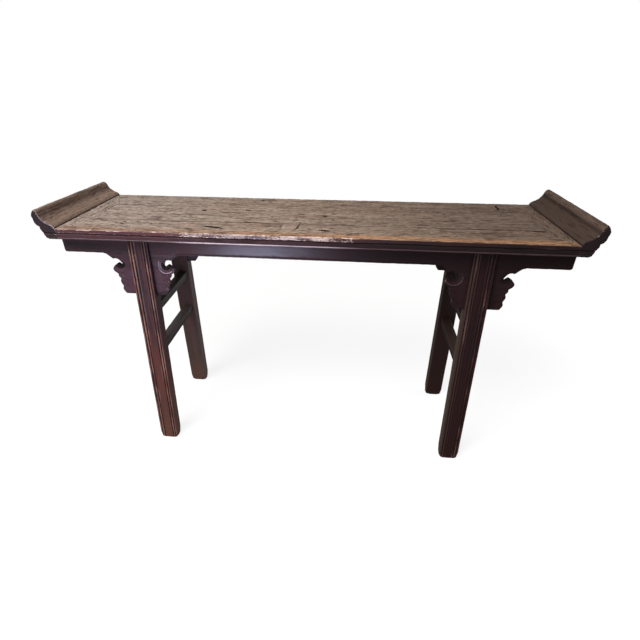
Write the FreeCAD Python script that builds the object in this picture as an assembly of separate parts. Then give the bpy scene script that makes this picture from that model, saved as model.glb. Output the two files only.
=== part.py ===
import FreeCAD, Part
import os

# A recessed-leg altar table with everted end flanges, all of wood, in millimetres.
# X runs along the table, Y from front to back and Z up. The origin lies on the floor
# under the middle of the table.

# Whole table
top_height = 860.0
top_depth = 418.0
top_thickness = 34.5
frame_length = 1527.0
flange_reach = 64.5
flange_rise = 56.5

# Fit of the hidden joints, and how far a cutting shape passes the face it opens
slip = 0.2
overrun = 6.0

# Moulding along the front and rear edges of the top, read downwards
edge_round = 3.0
edge_band = 11.5
edge_quirk = 2.5
edge_quirk_depth = 2.4
edge_lip = 2.0
edge_field_recess = 1.0
edge_bead = 5.0
edge_bead_round = 2.5

# Mitred frame of the top
long_rail_width = 116.0
end_rail_width = 56.5
corner_tenon_width = 40.0
corner_tenon_thickness = 10.0
corner_tenon_shoulder = 22.0
corner_tenon_cover = 13.5
corner_peg_end_gap = 8.0
corner_peg_side_gap = 15.0

# Floating panel of two boards, tongued into the frame
board_width_shares = (0.56, 0.44)
board_thickness = 20.0
board_tongue_thickness = 8.0
board_tongue_top = 6.0
board_tongue_reach = 8.0
board_gap = 0.4

# Battens across the underside of the boards
batten_count = 4
batten_width = 36.0
batten_drop = 28.0
dovetail_height = 6.0
dovetail_top_width = 24.0
dovetail_neck_width = 18.0
batten_tenon_thickness = 8.0
batten_tenon_width = 24.0
batten_tenon_reach = 14.0

# Repair patch let into the front rail beside the boards
patch_length = 55.0
patch_width = 54.0
patch_thickness = 4.0
patch_skew = 9.0
patch_offset = 51.0
patch_gap = 0.6

# Everted flange: shares of its reach, and of its rise above or of the edge's
# thickness below the top surface. A pair is a straight run, a list is a curve.
flange_path_shares = [
    (0.0, -1.0),
    (0.0, 0.018),
    [(0.034, 0.135), (0.116, 0.218)],
    [(0.248, 0.269), (0.372, 0.336), (0.481, 0.460), (0.581, 0.646), (0.685, 0.911)],
    [(0.749, 0.996), (0.853, 0.966)],
    [(0.946, 0.867), (0.999, 0.690), (0.958, 0.460)],
    [(0.940, 0.283), (0.868, 0.159), (0.747, 0.064)],
    [(0.741, -0.087), (0.667, -0.362)],
    (0.605, -0.681),
    [(0.535, -0.878), (0.403, -1.0)],
]
flange_tongue_reach = 10.0
flange_tongue_thickness = 10.0
flange_tongue_stop = 59.0

# Square pegs that lock the hidden joints from below
peg_side = 5.0
peg_cover = 9.0
flange_peg_count = 3
flange_peg_end_gap = 40.0

# Long aprons and the short aprons that close their ends
apron_setback = 52.0
apron_thickness = 15.0
apron_height = 60.5
apron_end_reach = 25.5
apron_corner_round = 7.0
end_apron_thickness = 12.0
end_apron_inset = 6.0
end_apron_housing = 4.0

# Spandrel: shares of its reach from the leg's middle and of its drop below the apron
spandrel_reach = 126.0
spandrel_drop = 143.5
wing_path_shares = [
    (1.0, 0.0),
    (1.0, 0.010),
    [(0.940, 0.018), (0.871, 0.062), (0.782, 0.130)],
    [(0.718, 0.124), (0.643, 0.140), (0.583, 0.199), (0.560, 0.268), (0.583, 0.309)],
    (0.679, 0.244),
    [(0.774, 0.296), (0.833, 0.369), (0.813, 0.436), (0.726, 0.502)],
    [(0.725, 0.561), (0.677, 0.617)],
    [(0.702, 0.700), (0.652, 0.803)],
    [(0.671, 0.889), (0.615, 0.990)],
    (0.587, 1.0),
]
spandrel_tongue_thickness = 5.0
spandrel_tongue_height = 8.0
spandrel_tongue_stop = 26.0

# Legs, measured just under the top: the setback runs from the flange's joint to the
# middle of a leg. The splay is how far a leg leans outwards down to the floor.
leg_end_setback = 231.1
leg_width = 67.0
leg_depth = 42.3
leg_setback = 42.9
leg_splay_side = 14.2
leg_splay_front = 40.2
foot_round = 11.0
leg_arris = 3.0

# Beads and quirks on the outer face of a leg
leg_corner_round = 4.0
leg_edge_bead = 9.0
leg_quirk = 3.0
leg_quirk_depth = 2.8
leg_reed = 6.0
leg_reed_top = 0.3
leg_shoulder = 1.6
leg_bead_sag = 0.5
leg_field_recess = 1.0
leg_field_crown = 0.4

# Tenons at the top of a leg, one on each prong of its slot
leg_tenon_height = 18.0
leg_tenon_width = 43.0
prong_shoulder = 2.0

# Stretchers between the front and rear leg of each pair
upper_stretcher_top = 575.0
lower_stretcher_top = 418.0
stretcher_height = 27.0
stretcher_width = 36.0
stretcher_setback = 9.0
stretcher_arris = 3.0
stretcher_tenon_thickness = 12.0
stretcher_tenon_reach = 24.0
stretcher_tenon_shoulder = 3.0

# Places that follow from the sizes above
top_under = top_height - top_thickness
front_reach = top_depth / 2
joint_x = frame_length / 2
board_end_x = joint_x - end_rail_width
board_edge_y = front_reach - long_rail_width
tongue_top_z = top_height - board_tongue_top
tongue_low_z = tongue_top_z - board_tongue_thickness
board_under = top_height - board_thickness
batten_pitch = 2 * board_end_x / (batten_count + 1)
batten_xs = [batten_pitch * place - board_end_x for place in range(1, batten_count + 1)]
dovetail_top_z = board_under + dovetail_height
batten_under = board_under - batten_drop
batten_tenon_low = (top_under + board_under - batten_tenon_thickness) / 2
corner_tenon_in = board_edge_y + corner_tenon_shoulder
corner_tenon_out = corner_tenon_in + corner_tenon_width
corner_tenon_end = joint_x - corner_tenon_cover
corner_tenon_low = top_under + (top_thickness - corner_tenon_thickness) / 2
flange_tongue_low = top_under + (top_thickness - flange_tongue_thickness) / 2
flange_tongue_half = front_reach - flange_tongue_stop
apron_outer_y = front_reach - apron_setback
apron_inner_y = apron_outer_y - apron_thickness
apron_under = top_under - apron_height
apron_end_x = joint_x + apron_end_reach
end_apron_out = apron_end_x - end_apron_inset
end_apron_in = end_apron_out - end_apron_thickness
spandrel_under = apron_under - spandrel_drop
leg_centre_x = joint_x - leg_end_setback
leg_outer_y = front_reach - leg_setback
leg_inner_y = leg_outer_y - leg_depth

# Directions through the origin
origin = FreeCAD.Vector(0, 0, 0)
along_x = FreeCAD.Vector(1, 0, 0)
along_y = FreeCAD.Vector(0, 1, 0)


def block(x_low, x_high, y_low, y_high, z_low, z_high):
    """Box between two values on each axis."""
    corner = FreeCAD.Vector(x_low, y_low, z_low)
    return Part.makeBox(x_high - x_low, y_high - y_low, z_high - z_low, corner)


def curve_through(points):
    """Arc through three points, or a smooth curve through more."""
    if len(points) == 3:
        return Part.Arc(*points).toShape()
    curve = Part.BSplineCurve()
    curve.interpolate(points)
    return curve.toShape()


def face_of(path):
    """Flat face inside a closed path: a point is a straight run, a list is a curve."""
    edges = []
    here = path[0]
    for step in path[1:]:
        if isinstance(step, list):
            edges.append(curve_through([here] + step))
            here = step[-1]
        else:
            edges.append(Part.makeLine(here, step))
            here = step
    edges.append(Part.makeLine(here, path[0]))
    return Part.Face(Part.Wire(edges))


def placed(path, place):
    """The same path with each pair of values turned into a point by the place function."""
    points = []
    for step in path:
        if isinstance(step, list):
            points.append([place(*pair) for pair in step])
        else:
            points.append(place(*step))
    return points


def last_of(step):
    """Pair of values where a step of a path ends."""
    return step[-1] if isinstance(step, list) else step


def mirrored_back(path):
    """Steps that walk the mirror image of a path from its end back to its start."""
    def flip(pair):
        return (-pair[0], pair[1])

    steps = []
    for before, step in zip(path[-2::-1], path[:0:-1]):
        goal = flip(last_of(before))
        if isinstance(step, list):
            steps.append([flip(pair) for pair in step[-2::-1]] + [goal])
        else:
            steps.append(goal)
    return steps


def to_left(shape):
    """Mirror image at the other end of the table."""
    return shape.mirror(origin, along_x)


def to_front(shape):
    """Mirror image at the other side of the table."""
    return shape.mirror(origin, along_y)


def joined(body, extras):
    """Body and extras as one solid."""
    return body.fuse(extras).removeSplitter()


def save(name, shape):
    """Write one piece, or a group of like pieces, under its name."""
    solids = shape.Solids
    kept = solids[0] if len(solids) == 1 else Part.makeCompound(solids)
    kept.exportStep("parts/" + name + ".step")


def edge_strip(pairs, half_length):
    """Cutter along the rear edge, from pairs of depth behind the edge and drop from the top."""
    path = placed(pairs, lambda d, drop: FreeCAD.Vector(
        -half_length, front_reach - d, top_height - drop))
    return face_of(path).extrude(FreeCAD.Vector(2 * half_length, 0, 0))


def edge_moulding(half_length):
    """Cutters for the quirk, sunk field and bottom bead of the rear edge of the top."""
    quirk_low = edge_band + edge_quirk
    field_high = quirk_low + edge_lip
    field_low = top_thickness - edge_bead
    bevel = field_high + edge_field_recess
    quirk = [(-overrun, edge_band), (0, edge_band),
             (edge_quirk_depth, edge_band + edge_quirk / 2),
             (0, quirk_low), (-overrun, quirk_low)]
    field = [(-overrun, field_high), (0, field_high), (edge_field_recess, bevel),
             (edge_field_recess, field_low - edge_quirk / 2),
             (edge_quirk_depth, field_low - edge_quirk / 4),
             (0, field_low), (-overrun, field_low)]
    round_high = top_thickness - edge_bead_round
    turn = edge_bead_round * (1 - 0.5 ** 0.5)
    bead = [(-overrun, round_high), (0, round_high),
            [(turn, top_thickness - turn), (edge_bead_round, top_thickness)],
            (edge_bead_round, top_thickness + overrun),
            (-overrun, top_thickness + overrun)]
    return [edge_strip(pairs, half_length) for pairs in (quirk, field, bead)]


def edge_rounding():
    """Cutter that rounds the upper corner of the rear edge between the flanges."""
    turn = edge_round * (1 - 0.5 ** 0.5)
    corner = [(-overrun, -overrun), (edge_round, -overrun), (edge_round, 0),
              [(turn, turn), (0, edge_round)], (-overrun, edge_round)]
    return edge_strip(corner, joint_x)


def corner_tenon(room):
    """Tenon of the rear rail in the right end rail, or with room its mortise."""
    return block(board_end_x, corner_tenon_end + room,
                 corner_tenon_in - room, corner_tenon_out + room,
                 corner_tenon_low - room, corner_tenon_low + corner_tenon_thickness + room)


def corner_peg(room):
    """Square peg through the end rail and the tenon at the right rear corner."""
    middle_x = corner_tenon_end - corner_peg_end_gap
    middle_y = corner_tenon_in + corner_peg_side_gap
    half = peg_side / 2 + room
    return block(middle_x - half, middle_x + half, middle_y - half, middle_y + half,
                 top_under, top_height - peg_cover + room)


def leg_tenons(room):
    """Tenons on the outer and inner prong of the right rear leg, or with room their mortises."""
    half = leg_tenon_width / 2 + room
    top = top_under + leg_tenon_height + room
    outer_in = apron_outer_y + slip + prong_shoulder
    outer_out = leg_outer_y - leg_quirk_depth
    inner_in = leg_inner_y + prong_shoulder
    inner_out = apron_inner_y - slip - prong_shoulder
    return [block(leg_centre_x - half, leg_centre_x + half, low - room, high + room,
                  top_under, top)
            for low, high in ((outer_in, outer_out), (inner_in, inner_out))]


def batten_tenon(x, room):
    """Tenon of a batten in the rear rail, or with room its mortise."""
    half = batten_tenon_width / 2 + room
    return block(x - half, x + half, board_edge_y - overrun,
                 board_edge_y + batten_tenon_reach + room,
                 batten_tenon_low - room,
                 batten_tenon_low + batten_tenon_thickness + room)


def long_rail():
    """Rear rail: mitred ends with tenons, groove for the boards and moulded edge."""
    plan = [(-joint_x, front_reach), (joint_x, front_reach),
            (board_end_x, board_edge_y), (-board_end_x, board_edge_y)]
    face = face_of(placed(plan, lambda x, y: FreeCAD.Vector(x, y, top_under)))
    rail = face.extrude(FreeCAD.Vector(0, 0, top_thickness))
    tenon = corner_tenon(0)
    rail = joined(rail, [tenon, to_left(tenon)])
    groove = block(-board_end_x - end_rail_width, board_end_x + end_rail_width,
                   board_edge_y - overrun, board_edge_y + board_tongue_reach + board_gap,
                   tongue_low_z - slip, tongue_top_z + slip)
    cuts = edge_moulding(joint_x + overrun) + [edge_rounding(), groove]
    for tool in leg_tenons(slip) + [corner_peg(0)]:
        cuts.extend([tool, to_left(tool)])
    cuts.extend([batten_tenon(x, slip) for x in batten_xs])
    return rail.cut(cuts)


def patch(room):
    """Patch let into the front rail, or with room the recess it sits in."""
    left = -patch_offset - patch_length / 2 - room
    right = -patch_offset + patch_length / 2 + room
    back = -board_edge_y
    front = back - patch_width - room
    plan = [(left, back), (right, back), (right - patch_skew, front), (left, front)]
    low = top_height - patch_thickness
    face = face_of(placed(plan, lambda x, y: FreeCAD.Vector(x, y, low)))
    return face.extrude(FreeCAD.Vector(0, 0, patch_thickness))


def end_rail():
    """Right end rail between the two mitres, grooved for the boards and for the flange."""
    plan = [(joint_x, front_reach), (joint_x, -front_reach),
            (board_end_x, -board_edge_y), (board_end_x, board_edge_y)]
    face = face_of(placed(plan, lambda x, y: FreeCAD.Vector(x, y, top_under)))
    rail = face.extrude(FreeCAD.Vector(0, 0, top_thickness))
    board_groove = block(board_end_x - overrun,
                         board_end_x + board_tongue_reach + board_gap,
                         -front_reach, front_reach,
                         tongue_low_z - slip, tongue_top_z + slip)
    cuts = [board_groove, flange_tongue(slip)]
    for tool in edge_moulding(joint_x + overrun) + [corner_tenon(slip), corner_peg(0)]:
        cuts.extend([tool, to_front(tool)])
    cuts.extend(flange_pegs())
    return rail.cut(cuts)


def flange_tongue(room):
    """Stopped tongue of the right flange, or with room its groove in the end rail."""
    half = flange_tongue_half + room
    return block(joint_x - flange_tongue_reach - room, joint_x + flange_tongue_reach,
                 -half, half, flange_tongue_low - room,
                 flange_tongue_low + flange_tongue_thickness + room)


def flange_pegs():
    """Square pegs up through the right end rail into the tongue of the flange."""
    half = peg_side / 2
    x = joint_x - flange_tongue_reach / 2
    last = flange_tongue_half - flange_peg_end_gap
    pitch = 2 * last / (flange_peg_count - 1)
    return [block(x - half, x + half, y - half, y + half, top_under, top_height - peg_cover)
            for y in [last - pitch * place for place in range(flange_peg_count)]]


def flange():
    """Right flange: its curled outline runs through the whole depth of the top."""
    def place(reach, level):
        scale = flange_rise if level > 0 else top_thickness
        return FreeCAD.Vector(joint_x + reach * flange_reach, -front_reach,
                              top_height + level * scale)

    face = face_of(placed(flange_path_shares, place))
    body = face.extrude(FreeCAD.Vector(0, top_depth, 0))
    body = joined(body, [flange_tongue(0)])
    cuts = flange_pegs()
    for tool in edge_moulding(joint_x + flange_reach + overrun)[:2]:
        cuts.extend([tool, to_front(tool)])
    return body.cut(cuts)


def dovetail(x, room):
    """Dovetailed ridge of a batten, or with room its slot across the boards."""
    top = dovetail_top_width / 2 + room
    neck = dovetail_neck_width / 2 + room
    reach = board_edge_y + (board_tongue_reach if room else 0)
    plan = [(x - neck, board_under), (x + neck, board_under),
            (x + top, dovetail_top_z + room), (x - top, dovetail_top_z + room)]
    face = face_of(placed(plan, lambda px, pz: FreeCAD.Vector(px, -reach, pz)))
    return face.extrude(FreeCAD.Vector(0, 2 * reach, 0))


def boards():
    """Boards of the panel from front to back, each with its tongues and slots."""
    width = 2 * (board_edge_y - board_gap)
    end = board_end_x - board_gap
    low = -board_edge_y + board_gap
    made = []
    for share in board_width_shares:
        high = low + width * share
        body = block(-end, end, low, high, board_under, top_height)
        front = low - (board_tongue_reach if not made else 0)
        last = len(made) == len(board_width_shares) - 1
        back = high + (board_tongue_reach if last else 0)
        tongue = block(-end - board_tongue_reach, end + board_tongue_reach,
                       front, back, tongue_low_z, tongue_top_z)
        body = joined(body, [tongue])
        made.append(body.cut([dovetail(x, slip) for x in batten_xs]))
        low = high
    return made


def batten(x):
    """Batten under the boards, dovetailed into them and tenoned into both long rails."""
    half = batten_width / 2
    bar = block(x - half, x + half, -board_edge_y + slip, board_edge_y - slip,
                batten_under, board_under)
    tenon = batten_tenon(x, 0)
    return joined(bar, [tenon, to_front(tenon), dovetail(x, 0)])


def long_apron():
    """Rear apron: one board through the slots of both rear legs, housed for the end aprons."""
    turn = apron_corner_round * (1 - 0.5 ** 0.5)
    low = apron_under + apron_corner_round
    side = apron_end_x - apron_corner_round
    path = [(-apron_end_x, top_under), (apron_end_x, top_under), (apron_end_x, low),
            [(apron_end_x - turn, apron_under + turn), (side, apron_under)],
            (-side, apron_under),
            [(-apron_end_x + turn, apron_under + turn), (-apron_end_x, low)]]
    face = face_of(placed(path, lambda x, z: FreeCAD.Vector(x, apron_inner_y, z)))
    board = face.extrude(FreeCAD.Vector(0, apron_thickness, 0))
    housing = block(end_apron_in - slip, end_apron_out + slip,
                    apron_inner_y - overrun, apron_inner_y + end_apron_housing,
                    apron_under - overrun, top_under + overrun)
    tongue = spandrel_tongue(slip)
    return board.cut([housing, to_left(housing), tongue, to_left(tongue)])


def end_apron():
    """Right end apron, housed between the two long aprons under the flange."""
    reach = apron_inner_y + end_apron_housing - slip
    return block(end_apron_in, end_apron_out, -reach, reach, apron_under, top_under)


def spandrel_tongue(room):
    """Tongue along the top of the right rear spandrel, or with room its groove."""
    half = spandrel_reach - spandrel_tongue_stop + room
    middle = (apron_outer_y + apron_inner_y) / 2
    thick = spandrel_tongue_thickness / 2 + room
    return block(leg_centre_x - half, leg_centre_x + half, middle - thick, middle + thick,
                 apron_under, apron_under + spandrel_tongue_height + room)


def spandrel():
    """Right rear spandrel: two carved wings in one board through the slot of the leg."""
    def place(reach, drop):
        return FreeCAD.Vector(leg_centre_x + reach * spandrel_reach, apron_inner_y,
                              apron_under - drop * spandrel_drop)

    foot = last_of(wing_path_shares[-1])
    path = wing_path_shares + [(-foot[0], foot[1])] + mirrored_back(wing_path_shares)
    board = face_of(placed(path, place)).extrude(FreeCAD.Vector(0, apron_thickness, 0))
    return joined(board, [spandrel_tongue(0)])


def splay(drop):
    """How far a leg has moved outwards at a drop below the top."""
    share = drop / top_under
    return FreeCAD.Vector(leg_splay_side * share, leg_splay_front * share, -drop)


def leg_section():
    """Horizontal outline of a leg under the top, its moulded face outwards."""
    half = leg_width / 2
    bead_in = half - leg_edge_bead
    reed_out = bead_in - leg_quirk
    reed_in = reed_out - leg_reed
    field = reed_in - leg_quirk
    turn = leg_corner_round * (1 - 0.5 ** 0.5)
    crest = half - leg_corner_round
    side = [(half - leg_arris, leg_depth),
            (half, leg_depth - leg_arris),
            (half, leg_corner_round),
            [(half - turn, turn), (crest, 0)],
            [((bead_in + crest) / 2, leg_bead_sag), (bead_in, leg_shoulder)],
            (reed_out + leg_quirk / 2, leg_quirk_depth),
            (reed_out, leg_shoulder),
            [((reed_in + reed_out) / 2, leg_reed_top), (reed_in, leg_shoulder)],
            (field + leg_quirk / 2, leg_quirk_depth),
            (field, leg_field_recess)]
    crown = [(0, leg_field_recess - leg_field_crown), (-field, leg_field_recess)]
    path = side + [crown] + mirrored_back(side)
    return face_of(placed(path, lambda across, deep: FreeCAD.Vector(
        leg_centre_x + across, leg_outer_y - deep, top_under)))


def leg_blank(room):
    """Plain splayed bar round the right rear leg, with the arrises of its foot worn round."""
    half = leg_width / 2 + room
    inner = leg_inner_y - room
    outer = leg_outer_y + room
    plan = [(leg_centre_x - half, inner), (leg_centre_x + half, inner),
            (leg_centre_x + half, outer), (leg_centre_x - half, outer)]
    start = splay(-overrun)
    face = face_of(placed(plan, lambda x, y: FreeCAD.Vector(x, y, top_under) + start))
    bar = face.extrude(splay(top_under + overrun))
    floor_edges = [edge for edge in bar.Edges if edge.BoundBox.ZMax < foot_round]
    return bar.makeFillet(foot_round, floor_edges)


def stretcher_tenon(top, room):
    """Tenon of a stretcher in the right rear leg, or with room its mortise."""
    middle_z = top - stretcher_height / 2
    shift = splay(top_under - middle_z)
    inner_x = leg_centre_x - leg_width / 2 + shift.x + stretcher_setback
    middle_x = inner_x + stretcher_width / 2
    start = leg_inner_y + shift.y
    half_thick = stretcher_tenon_thickness / 2 + room
    half_high = stretcher_height / 2 - stretcher_tenon_shoulder + room
    return block(middle_x - half_thick, middle_x + half_thick,
                 start - overrun, start + stretcher_tenon_reach + room,
                 middle_z - half_high, middle_z + half_high)


def leg():
    """Right rear leg: slotted for apron and spandrel, with tenons on both prongs."""
    body = leg_section().extrude(splay(top_under + overrun)).common(leg_blank(slip))
    slot = block(leg_centre_x - leg_width, leg_centre_x + leg_width,
                 apron_inner_y - slip, apron_outer_y + slip,
                 spandrel_under, top_under + overrun)
    body = body.cut([slot])
    body = joined(body, leg_tenons(0))
    return body.cut([stretcher_tenon(top, slip)
                     for top in (upper_stretcher_top, lower_stretcher_top)])


def stretcher(top):
    """Right stretcher with its upper face at a height, shouldered on both splayed legs."""
    middle_z = top - stretcher_height / 2
    shift = splay(top_under - middle_z)
    inner_x = leg_centre_x - leg_width / 2 + shift.x + stretcher_setback
    reach = leg_inner_y + shift.y + leg_depth / 2
    bar = block(inner_x, inner_x + stretcher_width, -reach, reach,
                top - stretcher_height, top)
    long_edges = [edge for edge in bar.Edges if edge.BoundBox.YLength > reach]
    bar = bar.makeFillet(stretcher_arris, long_edges)
    blank = leg_blank(0)
    bar = bar.cut([blank, to_front(blank)])
    tenon = stretcher_tenon(top, 0)
    return joined(bar, [tenon, to_front(tenon)])


os.makedirs("parts", exist_ok=True)

rear_rail = long_rail()
save("rear_top_rail", rear_rail)
save("front_top_rail", to_front(rear_rail).cut(patch(patch_gap)))
save("top_patch", patch(0))

right_end_rail = end_rail()
save("right_end_rail", right_end_rail)
save("left_end_rail", to_left(right_end_rail))

for name, board in zip(("front_top_board", "rear_top_board"), boards()):
    save(name, board)
for number, x in enumerate(batten_xs, start=1):
    save("cross_batten_" + str(number), batten(x))

right_flange = flange()
save("right_flange", right_flange)
save("left_flange", to_left(right_flange))

corner = corner_peg(0)
corner_pegs = [corner, to_left(corner), to_front(corner), to_left(to_front(corner))]
save("frame_corner_pegs", Part.makeCompound(corner_pegs))
right_pegs = flange_pegs()
save("flange_pegs", Part.makeCompound(right_pegs + [to_left(peg) for peg in right_pegs]))

rear_apron = long_apron()
save("rear_apron", rear_apron)
save("front_apron", to_front(rear_apron))
right_end_apron = end_apron()
save("right_end_apron", right_end_apron)
save("left_end_apron", to_left(right_end_apron))

for kind, piece in (("spandrel", spandrel()), ("leg", leg())):
    save("rear_right_" + kind, piece)
    save("rear_left_" + kind, to_left(piece))
    save("front_right_" + kind, to_front(piece))
    save("front_left_" + kind, to_left(to_front(piece)))

for level, top in (("upper", upper_stretcher_top), ("lower", lower_stretcher_top)):
    bar = stretcher(top)
    save("right_" + level + "_stretcher", bar)
    save("left_" + level + "_stretcher", to_left(bar))
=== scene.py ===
import math

import bmesh
import bpy
import numpy as np
from mathutils import Matrix, Vector, geometry


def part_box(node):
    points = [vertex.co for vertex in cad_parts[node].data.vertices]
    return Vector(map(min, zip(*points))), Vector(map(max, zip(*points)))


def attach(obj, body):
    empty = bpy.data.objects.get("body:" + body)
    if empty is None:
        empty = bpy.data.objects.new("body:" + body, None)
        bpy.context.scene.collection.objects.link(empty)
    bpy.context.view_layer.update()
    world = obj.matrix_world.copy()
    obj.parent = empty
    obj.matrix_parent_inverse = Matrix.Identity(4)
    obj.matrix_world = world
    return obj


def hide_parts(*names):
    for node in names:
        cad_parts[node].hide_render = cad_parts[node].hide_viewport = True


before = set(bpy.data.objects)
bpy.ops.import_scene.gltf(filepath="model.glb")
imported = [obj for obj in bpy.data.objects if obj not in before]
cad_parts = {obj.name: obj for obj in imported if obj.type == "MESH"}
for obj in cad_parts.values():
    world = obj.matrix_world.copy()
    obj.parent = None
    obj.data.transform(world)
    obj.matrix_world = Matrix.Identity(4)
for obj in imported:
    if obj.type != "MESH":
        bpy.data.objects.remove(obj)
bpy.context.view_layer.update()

# The camera stands before the table, a little right of its middle and well above the top,
# and looks down on it. Place, turn and lens were worked out from the table's own corners.
camera_place = Vector((0.12932, -1.37538, 1.27131))
camera_yaw = 0.102714
camera_pitch = -0.529363
camera_roll = 0.002396
camera_lens = 23.811
camera_shift = (0.020665, -0.001375)

camera_data = bpy.data.cameras.new("studio_camera")
camera_data.sensor_width = 36.0
camera_data.lens = camera_lens
camera_data.shift_x, camera_data.shift_y = camera_shift
camera = bpy.data.objects.new("studio_camera", camera_data)
camera_turn = (Matrix.Rotation(camera_yaw, 4, "Z") @ Matrix.Rotation(camera_pitch, 4, "X")
               @ Matrix.Rotation(camera_roll, 4, "Y") @ Matrix.Rotation(math.pi / 2, 4, "X"))
camera.matrix_world = Matrix.Translation(camera_place) @ camera_turn
bpy.context.scene.collection.objects.link(camera)
bpy.context.scene.camera = camera

# Legs: four splayed posts of elm. The outer face is planed to one section of edge beads,
# quirks and reeds beside a low field, the head is slotted for apron and spandrel, and the
# whole is lacquered dark plum, rubbed through on the beads and worn round at the foot.
leg_width = 0.067
leg_depth = 0.0423
leg_splay_side = 0.0142
leg_splay_front = 0.0402
leg_arris = 0.003
leg_corner = 0.003
leg_edge_bead = 0.0064
leg_bead_top = 0.0002
leg_quirk = 0.0026
leg_quirk_depth = 0.0032
leg_reed = 0.0068
leg_reed_top = 0.0003
leg_shoulder = 0.0016
leg_rim = 0.0052
leg_rim_top = 0.0005
leg_rim_quirk = 0.0012
leg_field_recess = 0.0017
foot_round = 0.007
foot_wear = 0.03
foot_rub = 0.45
foot_corner = 0.015
slot_slip = 0.0002
leg_station = 0.009
slot_in, slot_out = 4, 5
weld = 0.00002
sharp_angle = 38

leg_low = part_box("rear_right_leg")[0]
top_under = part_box("rear_top_rail")[0].z
leg_middle = leg_low.x + leg_width / 2
leg_outer = leg_low.y + leg_depth
slot_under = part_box("rear_right_spandrel")[0].z
apron_low, apron_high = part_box("rear_apron")


def paint(red, green, blue):
    """Linear colour from the 0 to 255 values that a screen shows."""
    def linear(value):
        share = value / 255
        return share / 12.92 if share <= 0.04045 else ((share + 0.055) / 1.055) ** 2.4

    return (linear(red), linear(green), linear(blue), 1.0)


def feed(tree, socket, value):
    """Link a socket to another, or set it to a plain value."""
    if isinstance(value, bpy.types.NodeSocket):
        tree.links.new(value, socket)
    else:
        socket.default_value = value


def node(tree, kind, fed, **settings):
    """Outputs of a new node with its settings, and its inputs fed by name or place."""
    made = tree.nodes.new(kind)
    for name, value in settings.items():
        setattr(made, name, value)
    for key, value in fed.items():
        feed(tree, made.inputs[key], value)
    return made.outputs


def reckon(tree, operation, *values):
    """One sum or comparison of sockets and numbers."""
    return node(tree, "ShaderNodeMath", dict(enumerate(values)), operation=operation)[0]


def product(tree, made, *factors):
    """Product of sockets and numbers."""
    for factor in factors:
        made = reckon(tree, "MULTIPLY", made, factor)
    return made


def raise_by(tree, value, share, start):
    """A start with a share of a value added to it."""
    return reckon(tree, "MULTIPLY_ADD", value, share, start)


def rest(tree, share):
    """What a share leaves of one."""
    return reckon(tree, "SUBTRACT", 1.0, share)


def fade(tree, value, start, end):
    """Smooth step of a value from 0 at its start to 1 at its end."""
    return node(tree, "ShaderNodeMapRange", {"Value": value, "From Min": start, "From Max": end},
                interpolation_type="SMOOTHSTEP")["Result"]


def layered(tree, colour, *layers):
    """Colour under layers, each with the share that it covers and its own colour."""
    for share, laid_over in layers:
        colour = node(tree, "ShaderNodeMix", {0: share, 6: colour, 7: laid_over}, data_type="RGBA")[2]
    return colour


def cloud(tree, vector, stretch, seed, detail=3.0, waver=0.0):
    """Noise from 0 to 1 whose features are stretched along the axes."""
    scaled = node(tree, "ShaderNodeVectorMath", {0: vector, 1: stretch}, operation="MULTIPLY")[0]
    return node(tree, "ShaderNodeTexNoise",
                {"Vector": scaled, "W": seed, "Scale": 1.0, "Detail": detail, "Distortion": waver},
                noise_dimensions="4D")["Fac"]


def new_group(name, kind, inputs, outputs):
    """Empty node group, and what its two end nodes give and take. A word beside a label names
    the kind of its socket, and a number is the start value of a plain one."""
    group = bpy.data.node_groups.new(name, kind)
    for way, labels in (("INPUT", inputs), ("OUTPUT", outputs)):
        for label, value in labels.items():
            word = value if isinstance(value, str) else "Int" if isinstance(value, int) else "Float"
            made = group.interface.new_socket(label, in_out=way, socket_type="NodeSocket" + word)
            if word != value:
                made.default_value = value
    given = group.nodes.new("NodeGroupInput").outputs
    return group, given, group.nodes.new("NodeGroupOutput").inputs


grain_stretch = {"Streak": (2.2, 34.0, 34.0), "Line": (13.0, 120.0, 120.0),
                 "Fibre": (45.0, 520.0, 520.0), "Figure": (3.0, 9.0, 9.0)}


def elm_grain_group():
    """Grain of elm along X: broad streaks, growth lines, fibre, slits, figure and flecks."""
    tree, given, result = new_group(
        "elm_grain", "ShaderNodeTree", {"Vector": "Vector", "Seed": 0.0},
        dict.fromkeys(("Streak", "Line", "Fibre", "Slit", "Figure", "Fleck"), "Float"))
    vector, seed = given["Vector"], given["Seed"]
    kinds = {"Streak": (4.0, 0.6), "Line": (3.0, 0.5), "Fibre": (3.0, 0.0), "Figure": (4.0, 0.8)}
    for name, (detail, waver) in kinds.items():
        feed(tree, result[name], cloud(tree, vector, grain_stretch[name], seed, detail, waver))
    slit = cloud(tree, vector, (16.0, 300.0, 300.0), seed, 1.0)
    feed(tree, result["Slit"], fade(tree, slit, 0.6, 0.7))
    feed(tree, result["Fleck"], cloud(tree, vector, (60.0, 150.0, 150.0), seed, 3.0, 0.4))
    return tree


def rubbing_group():
    """Where lacquer is rubbed through to the wood, and where sunk places darken, partly by soiling and
    partly by painted shade.
    """
    tree, given, result = new_group(
        "rubbing", "ShaderNodeTree",
        {"Vector": "Vector", "Rubbed": 0.0, "Sunk": 0.0, "Line": 0.5, "Seed": 0.0},
        {"Bare": "Float", "Grime": "Float"})
    patches = cloud(tree, given["Vector"], (9.0, 30.0, 30.0), given["Seed"], 5.0)
    ragged = raise_by(tree, given["Line"], 0.35, patches)
    reach = raise_by(tree, given["Rubbed"], -0.62, 1.12)
    dust = cloud(tree, given["Vector"], (14.0, 14.0, 14.0), given["Seed"], 4.0)
    sunk = product(tree, given["Sunk"], reckon(tree, "ADD", dust, 0.45))
    feed(tree, result["Bare"], fade(tree, ragged, reach, reckon(tree, "ADD", reach, 0.16)))
    feed(tree, result["Grime"], fade(tree, sunk, 0.12, 0.65))
    return tree


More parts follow.
